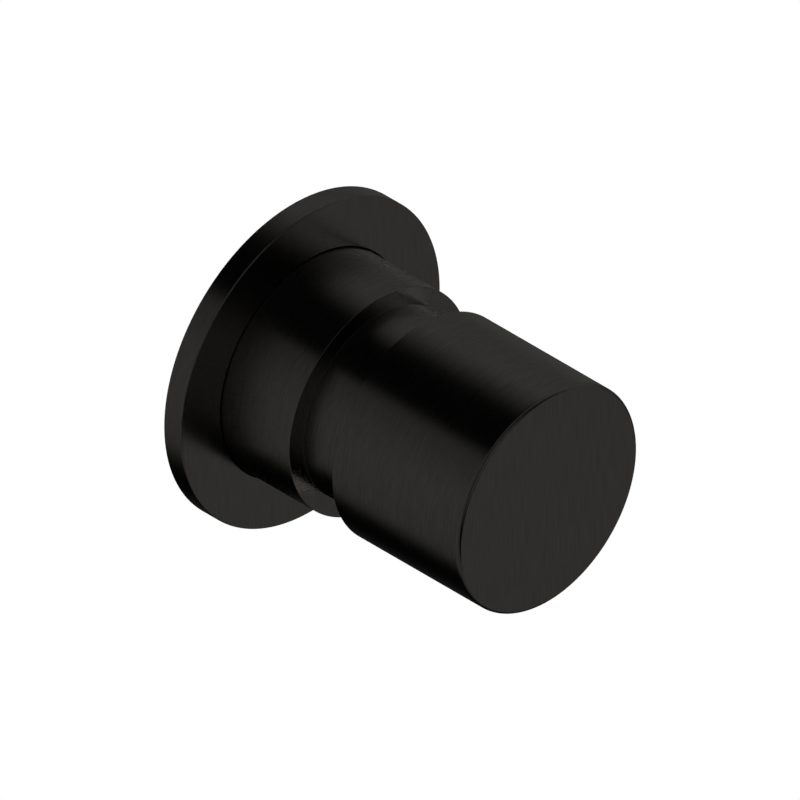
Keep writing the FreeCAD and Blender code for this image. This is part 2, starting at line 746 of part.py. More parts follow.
def make_cartridge_housing():
    """The moulded case: a cup over the discs with a nose that guides the spindle."""
    body = new_body("cartridge_housing")
    points = [
        ("spindle_radius + shaft_fit", ROOF),
        ("spindle_radius + shaft_fit", NOSE_TOP),
        (NOSE, NOSE_TOP),
        (NOSE, SHELF),
        (CARTRIDGE, SHELF),
        (CARTRIDGE, BASE_RIM),
        (HOUSING_BORE, BASE_RIM),
        (HOUSING_BORE, ROOF),
    ]
    turned(body, "case", points)
    sketch = new_sketch(body, "key", "XY_Plane", lift=BASE_TOP)
    inner = f"({HOUSING_BORE} - key_depth)"
    outer = f"({HOUSING_BORE} + housing_wall / 2)"
    add_outline(sketch, box("-key_width / 2", "key_width / 2", inner, outer))
    key = extruded(body, "key", sketch, "disc_thickness")
    repeated(body, "keys", [key], PAIR)
    depth = "peg_height + arm_clearance"
    peg = hole(body, "peg_hole", "XY_Plane", "peg_radius + peg_fit", NOSE_TOP, depth, (peg_pitch(), "0"))
    repeated(body, "peg_holes", [peg], "peg_count")


def make_thrust_washer():
    body = new_body("thrust_washer")
    turned(body, "band", box("spindle_radius + limit_bore_gap", FOOT, WASHER_BACK, ROOF))


def make_disc_carrier():
    """Takes the spindle's tongue above and turns the moving disc by two lugs below."""
    body = new_body("disc_carrier")
    turned(body, "plate", box("0", MOVING_DISC, CARRIER_BACK, FOOT_BACK))
    long_side = "(tongue_reach + tongue_fit)"
    short_side = "(tongue_width / 2 + tongue_fit)"
    sketch = new_sketch(body, "slot", "XY_Plane", lift=FOOT_BACK)
    add_outline(sketch, box(f"-{long_side}", long_side, f"-{short_side}", short_side))
    extruded(body, "slot", sketch, "tongue_depth + tongue_fit", cut=True)
    half = "(notch_width / 2 - notch_fit)"
    inner = f"({MOVING_DISC} - notch_depth + notch_fit)"
    sketch = new_sketch(body, "lug", "XY_Plane", lift=CARRIER_BACK)
    add_outline(sketch, box(inner, f"({MOVING_DISC} - notch_fit)", f"-{half}", half))
    lug = extruded(body, "lug", sketch, "disc_thickness / 2", reverse=True)
    repeated(body, "lugs", [lug], PAIR)


def make_moving_disc():
    """Ceramic, with a blind pocket that joins the middle port to the cold and hot ports in turn."""
    body = new_body("moving_disc")
    turned(body, "plate", box("0", MOVING_DISC, LAPPED_FACE, CARRIER_BACK))
    eased(body, "plate_edge", "Chamfer", ring_edges(body.Tip, [(MOVING_DISC, CARRIER_BACK)]), "disc_chamfer")
    lobe = box("0", PORT_OUT, LAPPED_FACE, f"({LAPPED_FACE} + lobe_depth)")
    turned(body, "cold_lobe", lobe, cut=True, middle="cold_lobe", sweep="lobe_sweep")
    turned(body, "hot_lobe", lobe, cut=True, middle="hot_lobe", sweep="lobe_sweep")
    hole(body, "middle", "XY_Plane", "lobe_centre", LAPPED_FACE, "lobe_depth", reverse=True)
    half = "(notch_width / 2)"
    sketch = new_sketch(body, "notch", "XY_Plane", lift=CARRIER_BACK)
    outside = f"({MOVING_DISC} + notch_depth)"
    add_outline(sketch, box(f"({MOVING_DISC} - notch_depth)", outside, f"-{half}", half))
    notch = extruded(body, "notch", sketch, "disc_thickness", cut=True)
    repeated(body, "notches", [notch], PAIR)


def make_fixed_disc():
    """Ceramic, with the hot and cold kidneys either side of the mixed water's port."""
    body = new_body("fixed_disc")
    turned(body, "plate", box("0", FIXED_DISC, BASE_TOP, LAPPED_FACE))
    eased(body, "plate_edge", "Chamfer", ring_edges(body.Tip, [(FIXED_DISC, BASE_TOP)]), "disc_chamfer")
    port = box(PORT_IN, PORT_OUT, BASE_TOP, LAPPED_FACE)
    kidney = turned(body, "kidney", port, cut=True, sweep="kidney_sweep")
    repeated(body, "kidneys", [kidney], PAIR)
    hole(body, "middle", "XY_Plane", "port_radius", LAPPED_FACE, "disc_thickness")
    half = "(key_width / 2 + notch_fit)"
    inner = f"({HOUSING_BORE} - key_depth - notch_fit)"
    sketch = new_sketch(body, "notch", "XY_Plane", lift=LAPPED_FACE)
    add_outline(sketch, box(f"-{half}", half, inner, f"({FIXED_DISC} + key_depth)"))
    notch = extruded(body, "notch", sketch, "disc_thickness", cut=True)
    repeated(body, "notches", [notch], PAIR)


def make_disc_seals():
    """Two kidney seals and a round one, in the base's recesses under the fixed disc."""
    body = new_body("disc_seals")
    low = f"({BASE_TOP} - seal_height)"
    turned(body, "middle", box("port_radius + seal_fit", f"({SEAL_POCKET} - seal_fit)", low, BASE_TOP))
    rim = box(f"({PORT_IN} - seal_land + seal_fit)", f"({PORT_OUT} + seal_land - seal_fit)", low, BASE_TOP)
    outer = turned(body, "kidney", rim, sweep="kidney_sweep + 2 * (seal_end_angle - seal_fit_angle)")
    window = box(f"({PORT_IN} - seal_fit)", f"({PORT_OUT} + seal_fit)", low, BASE_TOP)
    inner = turned(body, "window", window, cut=True, sweep="kidney_sweep + 2 * seal_fit_angle")
    repeated(body, "kidneys", [outer, inner], PAIR)


def make_cartridge_base():
    """The cartridge's foot: kidneys above, round ports below, and two dowels in the seat."""
    body = new_body("cartridge_base")
    spigot = f"({HOUSING_BORE} - spigot_fit)"
    points = [
        ("0", SEAT),
        (CARTRIDGE, SEAT),
        (CARTRIDGE, BASE_RIM),
        (spigot, BASE_RIM),
        (spigot, BASE_TOP),
        ("0", BASE_TOP),
    ]
    turned(body, "block", points)
    middle = f"({BASE_TOP} - base_thickness / 2)"
    kidney = turned(body, "kidney", box(PORT_IN, PORT_OUT, middle, BASE_TOP), cut=True, sweep="kidney_sweep")
    floor = f"({BASE_TOP} - seal_height)"
    rim = box(f"({PORT_IN} - seal_land)", f"({PORT_OUT} + seal_land)", floor, BASE_TOP)
    recess = turned(body, "recess", rim, cut=True, sweep="kidney_sweep + 2 * seal_end_angle")
    side = (PORT_PITCH, "0")
    port = hole(body, "port", "XY_Plane", "port_radius", middle, "base_thickness / 2", side)
    pocket = hole(body, "port_seal", "XY_Plane", SEAL_POCKET, SEAT, "seal_height", side, reverse=True)
    sketch = new_sketch(body, "dowel", "XY_Plane", lift=SEAT)
    add_circle(sketch, "dowel_radius", ("0", "dowel_pitch"))
    dowel = extruded(body, "dowel", sketch, "dowel_height", reverse=True)
    repeated(body, "sides", [kidney, recess, port, pocket, dowel], PAIR)
    hole(body, "middle", "XY_Plane", "port_radius", BASE_TOP, "base_thickness")
    hole(body, "middle_seal_above", "XY_Plane", SEAL_POCKET, BASE_TOP, "seal_height")
    hole(body, "middle_seal_below", "XY_Plane", SEAL_POCKET, SEAT, "seal_height", reverse=True)


def make_base_port_seals():
    middle = f"((port_radius + {SEAL_POCKET}) / 2)"
    section = "(seal_height / 2 - ring_squeeze)"
    station = f"({SEAT} + seal_height / 2)"
    sides = ["0", PORT_PITCH, f"-{PORT_PITCH}"]
    seal_rings("base_port_seals", [(middle, section, station, side) for side in sides])


def make_retaining_nut():
    """Screws into the valve's mouth and holds the cartridge down by its shoulder."""
    body = new_body("retaining_nut")
    turned(body, "thread", box("0", NUT, SHELF, MOUTH_TOP))
    sketch = add_outline(new_sketch(body, "head", "XY_Plane", lift=MOUTH_TOP), hexagon(NUT_FLAT))
    extruded(body, "head", sketch, "nut_head")
    hole(body, "bore", "XY_Plane", NUT_BORE, NUT_TOP, f"{NUT_TOP} - {SHELF}")
    edges = ring_edges(body.Tip, [(NUT, SHELF), (NUT, MOUTH_TOP)])
    eased(body, "thread_ends", "Chamfer", edges, "nut_chamfer")


def make_valve_body():
    """The brass casting in the wall: four pipe bosses round a barrel that holds the cartridge."""
    body = new_body("valve_body")
    points = [
        ("0", BACK),
        (BARREL, BACK),
        (BARREL, BARREL_TOP),
        (MOUTH, BARREL_TOP),
        (MOUTH, MOUTH_TOP),
        ("0", MOUTH_TOP),
    ]
    turned(body, "barrel", points)
    ends = ring_edges(body.Tip, [(BARREL, BACK), (BARREL, BARREL_TOP)])
    eased(body, "barrel_rounds", "Fillet", ends, "barrel_round")
    sketch = add_circle(new_sketch(body, "boss", "YZ_Plane"), BOSS, ("0", PIPES))
    boss = extruded(body, "boss", sketch, BOSS_REACH)
    sketch = new_sketch(body, "grip", "YZ_Plane", lift=f"{BOSS_REACH} - grip_length")
    octagon = polygon(GRIP_FLAT, OCTAGON_SIDE_COUNT)
    add_outline(sketch, [(across, f"{up} + {PIPES}") for across, up in octagon])
    grip = extruded(body, "grip", sketch, "grip_length")
    pipe = ("0", PIPES)
    radius = "pipe_thread_radius"
    thread = hole(body, "pipe_thread", "YZ_Plane", radius, BOSS_REACH, "pipe_thread_depth", pipe)
    repeated(body, "bosses", [boss, grip, thread], BOSSES)
    cavity = [
        ("0", SEAT),
        (CAVITY, SEAT),
        (CAVITY, SHELF),
        (MOUTH_BORE, SHELF),
        (MOUTH_BORE, MOUTH_TOP),
        ("0", MOUTH_TOP),
    ]
    turned(body, "cavity", cavity, cut=True)
    bore_end = f"({BOSS_REACH} - pipe_thread_depth)"
    inlet_run = f"({bore_end} - ({PORT_PITCH} - port_radius - waterway_overrun))"
    inlet = hole(body, "inlet_way", "YZ_Plane", "waterway_radius", bore_end, inlet_run, pipe)
    side = (PORT_PITCH, "0")
    riser = hole(body, "riser", "XY_Plane", "port_radius", SEAT, "seat_thickness", side)
    dowel_depth = "dowel_height + arm_clearance"
    at = ("0", "dowel_pitch")
    dowel = hole(body, "dowel_hole", "XY_Plane", "dowel_radius + dowel_fit", SEAT, dowel_depth, at)
    at = ("bracket_screw_pitch", "0")
    radius = "bracket_screw_radius + screw_fit"
    depth = "bracket_screw_hole"
    bracket = hole(body, "bracket_hole", "XY_Plane", radius, BACK, depth, at, reverse=True)
    repeated(body, "pairs", [inlet, riser, dowel, bracket], PAIR)
    sketch = add_circle(new_sketch(body, "outlet_way", "XZ_Plane"), "waterway_radius", pipe)
    extruded(body, "outlet_way", sketch, f"2 * {bore_end}", cut=True, midplane=True)
    hole(body, "middle_riser", "XY_Plane", "port_radius", SEAT, "seat_thickness")
    station = f"({SLEEVE_BACK} + mouth_groove_inset)"
    half = "ring_groove_width / 2"
    groove = box(f"({MOUTH} - ring_groove_depth)", MOUTH, f"{station} - {half}", f"{station} + {half}")
    turned(body, "sleeve_groove", groove, cut=True)
    eased(body, "mouth_edges", "Chamfer", ring_edges(body.Tip, [(MOUTH_BORE, MOUTH_TOP)]), "nut_chamfer")
    eased(body, "pipe_mouths", "Chamfer", pipe_mouth_edges(body.Tip), "pipe_mouth_chamfer")


def pipe_mouth_edges(feature):
    """Names of the round edges where the four pipe threads open."""
    radius, reach = value("pipe_thread_radius"), value(BOSS_REACH)
    names = []
    for number, edge in enumerate(feature.Shape.Edges, start=1):
        if isinstance(edge.Curve, Part.Circle) and abs(edge.Curve.Radius - radius) < SAME_PLACE:
            centre = edge.Curve.Center
            if abs(math.hypot(centre.x, centre.y) - reach) < SAME_PLACE:
                names.append(f"Edge{number}")
    return names


def make_sleeve_o_ring():
    room = "(ring_groove_depth + thread_fit)"
    middle = f"({SLEEVE_BORE} - {room} / 2)"
    station = f"({SLEEVE_BACK} + mouth_groove_inset)"
    seal_rings("sleeve_o_ring", [(middle, f"{room} / 2 - ring_squeeze", station, "0")])


def make_outlet_plug():
    """Closes the lower outlet, so that the mixed water leaves upwards to the shower."""
    body = new_body("outlet_plug")
    seat = f"({BOSS_REACH} + plug_washer_thickness)"
    top = f"({seat} + plug_head)"
    head = "(pipe_thread_radius + plug_head_step)"
    thread = "(pipe_thread_radius - thread_fit)"
    tip = f"({BOSS_REACH} - plug_thread)"
    turned(body, "plug", [("0", tip), (thread, tip), (thread, seat), (head, seat), (head, top), ("0", top)])
    sketch = add_outline(new_sketch(body, "socket", "XY_Plane", lift=top), hexagon("plug_socket"))
    extruded(body, "socket", sketch, "plug_socket_depth", cut=True)
    hang_down(body, PIPES)


def make_plug_washer():
    body = new_body("plug_washer")
    inner = "(pipe_thread_radius + plug_washer_gap)"
    outer = "(pipe_thread_radius + plug_head_step)"
    turned(body, "band", box(inner, outer, BOSS_REACH, f"({BOSS_REACH} + plug_washer_thickness)"))
    hang_down(body, PIPES)


def make_mounting_bracket():
    """An upright strip of steel, bent back to an ear above and one below, with four fixing holes."""
    body = new_body("mounting_bracket")
    bend = "(bracket_sheet * tan(atan(bracket_drop / bracket_ramp) / 2))"
    ramp_end = "(bracket_centre + bracket_ramp)"
    tip = f"({ramp_end} + bracket_ear)"
    front = [(tip, EAR_FRONT), (ramp_end, EAR_FRONT), ("bracket_centre", BACK)]
    rear = [
        (f"(bracket_centre - {bend})", f"({BACK} - bracket_sheet)"),
        (f"({ramp_end} - {bend})", f"({EAR_FRONT} - bracket_sheet)"),
        (tip, f"({EAR_FRONT} - bracket_sheet)"),
    ]
    lower_front = [(f"-{up}", station) for up, station in reversed(front)]
    lower_rear = [(f"-{up}", station) for up, station in reversed(rear)]
    points = front + lower_front + lower_rear + rear
    sketch = add_outline(new_sketch(body, "strip", "YZ_Plane"), points)
    extruded(body, "strip", sketch, "2 * bracket_half_width", midplane=True)
    along = f"({tip} - fixing_end)"
    across = "(bracket_half_width - fixing_side)"
    sketch = new_sketch(body, "fixings", "XY_Plane", lift=EAR_FRONT)
    for up in (along, f"-{along}"):
        add_circle(sketch, "fixing_radius", (across, up))
        add_circle(sketch, "fixing_radius", (f"-{across}", up))
    extruded(body, "fixings", sketch, "bracket_sheet", cut=True)
    sketch = new_sketch(body, "screw_holes", "XY_Plane", lift=BACK)
    for side in ("bracket_screw_pitch", "-bracket_screw_pitch"):
        add_circle(sketch, "bracket_screw_radius + bracket_hole_gap", (side, "0"))
    extruded(body, "screw_holes", sketch, "bracket_sheet", cut=True)
    eased(body, "corners", "Fillet", corner_edges(body.Tip, value(tip)), "bracket_corner")
    eased(body, "bends", "Fillet", bend_edges(body.Tip, value(tip)), "bracket_bend")


def corner_edges(feature, tip):
    """Names of the short edges at the bracket's four corners."""
    names = []
    for number, edge in enumerate(feature.Shape.Edges, start=1):
        ends = edge.BoundBox
        if isinstance(edge.Curve, Part.Line) and abs(edge.BoundBox.ZLength) > SAME_PLACE:
            if abs(abs(ends.Center.y) - tip) < SAME_PLACE and ends.YLength < SAME_PLACE:
                names.append(f"Edge{number}")
    return names


def bend_edges(feature, tip):
    """Names of the long edges where the bracket's strip is bent."""
    names = []
    for number, edge in enumerate(feature.Shape.Edges, start=1):
        ends = edge.BoundBox
        if isinstance(edge.Curve, Part.Line) and ends.XLength > value("bracket_half_width"):
            if abs(ends.Center.y) < tip - SAME_PLACE:
                names.append(f"Edge{number}")
    return names


def make_bracket_screws():
    """Two cap screws, put in from behind, that hold the bracket against the casting."""
    body = new_body("bracket_screws")
    seat = f"({BACK} - bracket_sheet)"
    at = ("bracket_screw_pitch", "0")
    sketch = add_circle(new_sketch(body, "shank", "XY_Plane", lift=seat), "bracket_screw_radius", at)
    shank = extruded(body, "shank", sketch, "bracket_sheet + bracket_screw_grip")
    sketch = add_circle(new_sketch(body, "head", "XY_Plane", lift=seat), "bracket_head_radius", at)
    head = extruded(body, "head", sketch, "bracket_head_height", reverse=True)
    sketch = new_sketch(body, "socket", "XY_Plane", lift=f"{seat} - bracket_head_height")
    corners = hexagon("bracket_socket")
    add_outline(sketch, [(f"{x} + bracket_screw_pitch", y) for x, y in corners])
    socket = extruded(body, "socket", sketch, "bracket_head_height / 2", cut=True, reverse=True)
    repeated(body, "pair", [shank, head, socket], PAIR)


def write_pieces():
    """Check every object and every sub-part's shape, then write one file for each."""
    document.recompute()
    failed = [item.Label for item in document.Objects if {"Invalid", "Error"} & set(item.State)]
    bad = [piece.Label for piece in pieces if piece.Shape.isNull() or not piece.Shape.isValid()]
    if failed or bad:
        raise ValueError(f"failed objects: {failed}, bad shapes: {bad}")
    os.makedirs("parts", exist_ok=True)
    for piece in pieces:
        piece.Shape.exportStep(f"parts/{piece.Label}.step")
    print(f"{len(pieces)} sub-parts written")


make_escutcheon()
make_escutcheon_seals()
make_trim_sleeve()
make_glide_ring()
make_knob()
make_knob_insert()
make_knob_grub_screw()
make_spindle_extension()
make_extension_screw()
make_spindle()
make_spindle_seals()
make_stop_arm()
make_hot_limit_ring()
make_cartridge_housing()
make_thrust_washer()
make_disc_carrier()
make_moving_disc()
make_fixed_disc()
make_disc_seals()
make_cartridge_base()
make_base_port_seals()
make_retaining_nut()
make_valve_body()
make_sleeve_o_ring()
make_outlet_plug()
make_plug_washer()
make_mounting_bracket()
make_bracket_screws()
write_pieces()
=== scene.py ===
import math

import bpy
import numpy as np
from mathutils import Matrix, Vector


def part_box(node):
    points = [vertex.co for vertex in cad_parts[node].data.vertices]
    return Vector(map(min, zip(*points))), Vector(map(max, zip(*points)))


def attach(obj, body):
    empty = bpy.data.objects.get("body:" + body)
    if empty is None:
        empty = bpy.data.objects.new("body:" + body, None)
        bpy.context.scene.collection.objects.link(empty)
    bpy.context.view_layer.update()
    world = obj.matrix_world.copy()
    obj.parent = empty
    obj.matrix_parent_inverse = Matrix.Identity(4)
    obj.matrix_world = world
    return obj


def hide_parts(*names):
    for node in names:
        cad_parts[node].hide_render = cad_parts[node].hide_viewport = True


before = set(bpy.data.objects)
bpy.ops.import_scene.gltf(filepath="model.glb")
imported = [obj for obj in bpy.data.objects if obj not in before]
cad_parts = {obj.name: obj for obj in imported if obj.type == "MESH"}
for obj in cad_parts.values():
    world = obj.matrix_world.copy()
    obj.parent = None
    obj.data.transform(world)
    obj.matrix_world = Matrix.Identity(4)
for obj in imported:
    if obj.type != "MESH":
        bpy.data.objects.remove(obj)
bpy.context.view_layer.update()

MM = 0.001


# The photo's view

VIEW_FROM_LEFT = 44.83      # degrees round from straight in front, to the left
VIEW_FROM_ABOVE = 35.03     # degrees above the horizon
PHOTO_SIDE = 800            # pixels
PIXEL = 0.17793 * MM        # size of a pixel at the object
WALL_CENTRE_PIXEL = (293.47, 352.70)    # where the axis meets the wall in the photo
CAMERA_DISTANCE = 0.6       # metres
CAMERA_NEAR = 0.01
CAMERA_FAR = 10.0


def add_camera():
    """An orthographic camera whose frame is set by the pixel of the flange's centre."""
    turn = math.radians(VIEW_FROM_LEFT)
    rise = math.radians(VIEW_FROM_ABOVE)
    right = np.array([math.cos(turn), -math.sin(turn), 0.0])
    back = np.array([-math.sin(turn) * math.cos(rise), -math.cos(turn) * math.cos(rise), math.sin(rise)])
    up = np.cross(back, right)
    across = PHOTO_SIDE / 2 - WALL_CENTRE_PIXEL[0]
    down = PHOTO_SIDE / 2 - WALL_CENTRE_PIXEL[1]
    aim = (right * across - up * down) * PIXEL
    data = bpy.data.cameras.new("photo_view")
    data.type = "ORTHO"
    data.ortho_scale = PHOTO_SIDE * PIXEL
    data.clip_start = CAMERA_NEAR
    data.clip_end = CAMERA_FAR
    camera = bpy.data.objects.new("photo_view", data)
    bpy.context.scene.collection.objects.link(camera)
    camera.location = aim + back * CAMERA_DISTANCE
    camera.rotation_euler = (math.pi / 2 - rise, 0.0, -turn)
    bpy.context.scene.camera = camera


# Meshes

def mesh_object(name, points, faces, normals=None):
    """A mesh from its points in millimetres, its faces and, where given, a normal at each point."""
    mesh = bpy.data.meshes.new(name)
    mesh.from_pydata((points * MM).tolist(), [], faces)
    mesh.polygons.foreach_set("use_smooth", np.ones(len(faces), bool))
    if normals is not None:
        mesh.normals_split_custom_set_from_vertices(normals.tolist())
    mesh.update()
    piece = bpy.data.objects.new(name, mesh)
    bpy.context.scene.collection.objects.link(piece)
    return piece


def grid_faces(rows, columns, wrap_rows=False, wrap_columns=False):
    """Quads between neighbours of a grid of points that is stored row by row."""
    row = np.arange(rows if wrap_rows else rows - 1)[:, None]
    column = np.arange(columns if wrap_columns else columns - 1)[None, :]
    next_row = (row + 1) % rows
    next_column = (column + 1) % columns
    corners = [row * columns + column, next_row * columns + column]
    corners += [next_row * columns + next_column, row * columns + next_column]
    return np.stack(np.broadcast_arrays(*corners), axis=-1).reshape(-1, 4)


ROUND_STEPS = 8             # in a rounded corner
TURNED_STEPS = 288          # once round the axis


def rounded_outline(corners, closed=True):
    """Points and outward normals of an outline whose corners are rounded.

    Each corner is (radius, out, round). The arc at a corner touches both sides at a distance of
    round * tan(half the turn), and its points are its centre plus the round times the normal,
    which turns evenly from one side's normal to the other's. The outline runs so that the
    material lies on its left.
    """
    corners = np.array(corners, float)
    count = len(corners)
    places, normals = [], []
    for index in range(count):
        at, size = corners[index, :2], corners[index, 2]
        if not closed and index in (0, count - 1):
            other = corners[1 if index == 0 else count - 2, :2]
            run = (other - at) if index == 0 else (at - other)
            run /= np.linalg.norm(run)
            places.append(at[None])
            normals.append(np.array([[run[1], -run[0]]]))
            continue
        before = at - corners[index - 1, :2]
        after = corners[(index + 1) % count, :2] - at
        before /= np.linalg.norm(before)
        after /= np.linalg.norm(after)
        turn = math.atan2(before[0] * after[1] - before[1] * after[0], before @ after)
        if size == 0.0:
            places.append(at[None])
            normals.append(np.array([[before[1], -before[0]]]))
            continue
        start = math.atan2(-before[0], before[1])
        angle = start + np.linspace(0.0, turn, ROUND_STEPS + 1)
        spread = np.stack([np.cos(angle), np.sin(angle)], axis=1)
        side = math.copysign(1.0, turn)
        touch = at - before * size * math.tan(abs(turn) / 2)
        centre = touch - side * size * spread[0]
        places.append(centre + side * size * spread)
        normals.append(spread)
    return np.concatenate(places), np.concatenate(normals)


def turned_piece(name, corners, steps=TURNED_STEPS, closed=True, holes=()):
    """A turned piece about the mixer's axis.

    The outline's point (radius, out) at the angle a lies at x = radius * cos(a), y = -out and
    z = radius * sin(a). An open outline starts and ends on the axis, where its points meet in one.
    """
    outline, slopes = rounded_outline(corners, closed)
    angle = np.linspace(0.0, 2 * math.pi, steps, endpoint=False)[:, None]

    def swept(radius, out):
        flat = np.broadcast_to(-out, np.broadcast_shapes(angle.shape, out.shape))
        return np.stack([radius * np.cos(angle), flat, radius * np.sin(angle)], axis=-1)

    inner = slice(None) if closed else slice(1, -1)
    grid = swept(outline[inner, 0], outline[inner, 1])
    slope = swept(slopes[inner, 0], slopes[inner, 1])
    count = grid.shape[1]
    cells = grid_faces(steps, count, wrap_rows=True, wrap_columns=closed).reshape(steps, -1, 4)
    kept = np.ones(cells.shape[:2], bool)
    points, normals, faces = [grid.reshape(-1, 3)], [slope.reshape(-1, 3)], []
    for hole in holes:
        used = sum(len(part) for part in points)
        window, rings, ring_normals, tube = drilled(grid, outline[inner], used, *hole)
        for rows, columns in window:
            kept[rows[0] : rows[-1], columns.min() : columns.max()] = False
        points.append(rings)
        normals.append(ring_normals)
        faces += tube
    faces += cells[kept].tolist()
    if not closed:
        first = sum(len(part) for part in points)
        row = np.arange(steps) * count
        following = np.roll(row, -1)
        faces += np.stack([np.full(steps, first), following, row], axis=1).tolist()
        fan = [np.full(steps, first + 1), row + count - 1, following + count - 1]
        faces += np.stack(fan, axis=1).tolist()
        points.append(swept(outline[[0, -1], 0], outline[[0, -1], 1])[0])
        normals.append(swept(slopes[[0, -1], 0], slopes[[0, -1], 1])[0])
    return mesh_object(name, np.concatenate(points), faces, np.concatenate(normals))


# Round holes through a turned wall, in millimetres
HOLE_MARGIN = 0.7           # between a hole and the border of its window in the grid
HOLE_EDGE = 0.1             # how much of a hole's edge is rounded
HOLE_CELLS = 12             # cells along a window
TOUCHING = 1e-6             # closer than this is the same place


def hole_frame(radius, out, size, rising):
    """Outline points along a straight wall, evenly spaced over a hole and its margins."""
    half_window = size + HOLE_MARGIN
    stations = out + np.linspace(-half_window, half_window, HOLE_CELLS + 1)
    return [(radius, station, 0.0) for station in (stations if rising else stations[::-1])]


def drilled(grid, outline, used, out, size, walls):
    """A round hole from below through a turned wall, given by its outer and inner radius.

    In each of the two surfaces a window of whole cells gives way to rings of points. A point of the
    border lies at u across the hole and v along the axis, and its followers move straight towards
    the circle's point in the same direction. They lie at the depth sqrt(radius^2 - u^2). One more
    ring in each surface, a little way into the hole, rounds the edge and joins the two.
    """
    steps = len(grid)
    count = grid.shape[1]
    half = math.ceil((size + HOLE_MARGIN) / (walls[1] * 2 * math.pi / steps))
    lowest = steps * 3 // 4
    rows = lowest + np.arange(-half, half + 1)
    windows, borders, rings, ring_normals = [], [], [], []
    for wall, side in zip(walls, (1.0, -1.0)):
        on_wall = abs(outline[:, 0] - wall) < TOUCHING
        near = abs(outline[:, 1] - out) < size + HOLE_MARGIN + TOUCHING
        columns = np.flatnonzero(on_wall & near)
        columns = columns[np.argsort(outline[columns, 1])]
        windows.append((rows, columns))
        across_rows, across_columns = len(rows) - 1, len(columns) - 1
        loop_rows = [rows[:-1], np.full(across_columns, rows[-1])]
        loop_rows += [rows[:0:-1], np.full(across_columns, rows[0])]
        loop_columns = [np.full(across_rows, columns[0]), columns[:-1]]
        loop_columns += [np.full(across_rows, columns[-1]), columns[:0:-1]]
        loop_rows, loop_columns = np.concatenate(loop_rows), np.concatenate(loop_columns)
        borders.append(loop_rows * count + loop_columns)
        border = grid[loop_rows, loop_columns]
        flat = np.stack([border[:, 0], -border[:, 1] - out], axis=1)
        toward = flat / np.linalg.norm(flat, axis=1, keepdims=True)
        for share in (1 / 3, 2 / 3, 1.0):
            u, v = ((1 - share) * flat + share * (size + HOLE_EDGE) * toward).T
            depth = np.sqrt(wall**2 - u**2)
            rings.append(np.stack([u, -out - v, -depth], axis=1))
            ring_normals.append(side * np.stack([u, 0 * u, -depth], axis=1) / wall)
        u, v = size * toward.T
        depth = np.sqrt(wall**2 - u**2) - side * HOLE_EDGE
        rings.append(np.stack([u, -out - v, -depth], axis=1))
        ring_normals.append(np.stack([-toward[:, 0], toward[:, 1], 0 * u], axis=1))
    around = len(borders[0])
    in_each = len(rings) // 2
    order = [*range(in_each), *reversed(range(in_each, 2 * in_each))]
    between_borders = [used + index * around + np.arange(around) for index in order]
    chain = [borders[0], *between_borders, borders[1]]
    tube = []
    for ring, inner_ring in zip(chain, chain[1:]):
        quads = [ring, np.roll(ring, -1), np.roll(inner_ring, -1), inner_ring]
        tube += np.stack(quads, axis=1).tolist()
    return windows, np.concatenate(rings), np.concatenate(ring_normals), tube


# Shader nodes

def add(tree, kind, inputs=None, **settings):
    """A new node with its settings, and its inputs by name or number: a value or another socket."""
    node = tree.nodes.new(kind)
    for name, setting in settings.items():
        setattr(node, name, setting)
    for key, given in (inputs or {}).items():
        if isinstance(given, bpy.types.NodeSocket):
            tree.links.new(given, node.inputs[key])
        else:
            node.inputs[key].default_value = given
    return node


def maths(tree, operation, *values):
    """What one Math node makes of its values."""
    return add(tree, "ShaderNodeMath", dict(enumerate(values)), operation=operation).outputs[0]


def in_turn(tree, operation, values):
    """One value made of several by a chain of Math nodes."""
    result = values[0]
    for value in values[1:]:
        result = maths(tree, operation, result, value)
    return result


def times(tree, *values):
    """The product of several values. Of masks, it is where all of them hold."""
    return in_turn(tree, "MULTIPLY", values)


def plus(tree, *values):
    """The sum of several values."""
    return in_turn(tree, "ADD", values)


def largest(tree, *values):
    """The largest of several values. Of masks, it is where any of them holds."""
    return in_turn(tree, "MAXIMUM", values)


def weighted(tree, *pairs):
    """The sum of several values, each given with its weight."""
    return plus(tree, *[times(tree, value, weight) for value, weight in pairs])


def distance(tree, first, second):
    """The length of a line that goes first one way and second square to it."""
    return maths(tree, "SQRT", plus(tree, times(tree, first, first), times(tree, second, second)))


def smooth_step(tree, value, low, high):
    """0 at low, 1 at high and past it, and a smooth rise between. High may be less than low."""
    inputs = {"Value": value, "From Min": low, "From Max": high}
    return add(tree, "ShaderNodeMapRange", inputs, interpolation_type="SMOOTHSTEP").outputs[0]


def remap(tree, value, low, high):
    """Stretch a value between 0 and 1 to the range from low to high."""
    return add(tree, "ShaderNodeMapRange", {"Value": value, "To Min": low, "To Max": high}).outputs[0]


def noise(tree, vector, scale, detail=3.0, roughness=0.55):
    """Soft irregular values between 0 and 1, scale of them in each unit of the vector."""
    inputs = {"Vector": vector, "Scale": scale, "Detail": detail, "Roughness": roughness}
    return add(tree, "ShaderNodeTexNoise", inputs).outputs[0]


def between(tree, share, first, second):
    """A number between two numbers."""
    return add(tree, "ShaderNodeMix", {0: share, 2: first, 3: second}, data_type="FLOAT").outputs[0]


def mixed(tree, share, first, second):
    """A colour between two colours, each a socket or (red, green, blue, 1)."""
    return add(tree, "ShaderNodeMix", {0: share, 6: first, 7: second}, data_type="RGBA").outputs[2]


def parts_of(tree, vector):
    """A vector's x, y and z."""
    parts = add(tree, "ShaderNodeSeparateXYZ", {0: vector}).outputs
    return parts["X"], parts["Y"], parts["Z"]


def vector_of(tree, *parts):
    """A vector from its x, y and z, or fewer of them."""
    return add(tree, "ShaderNodeCombineXYZ", dict(enumerate(parts))).outputs[0]


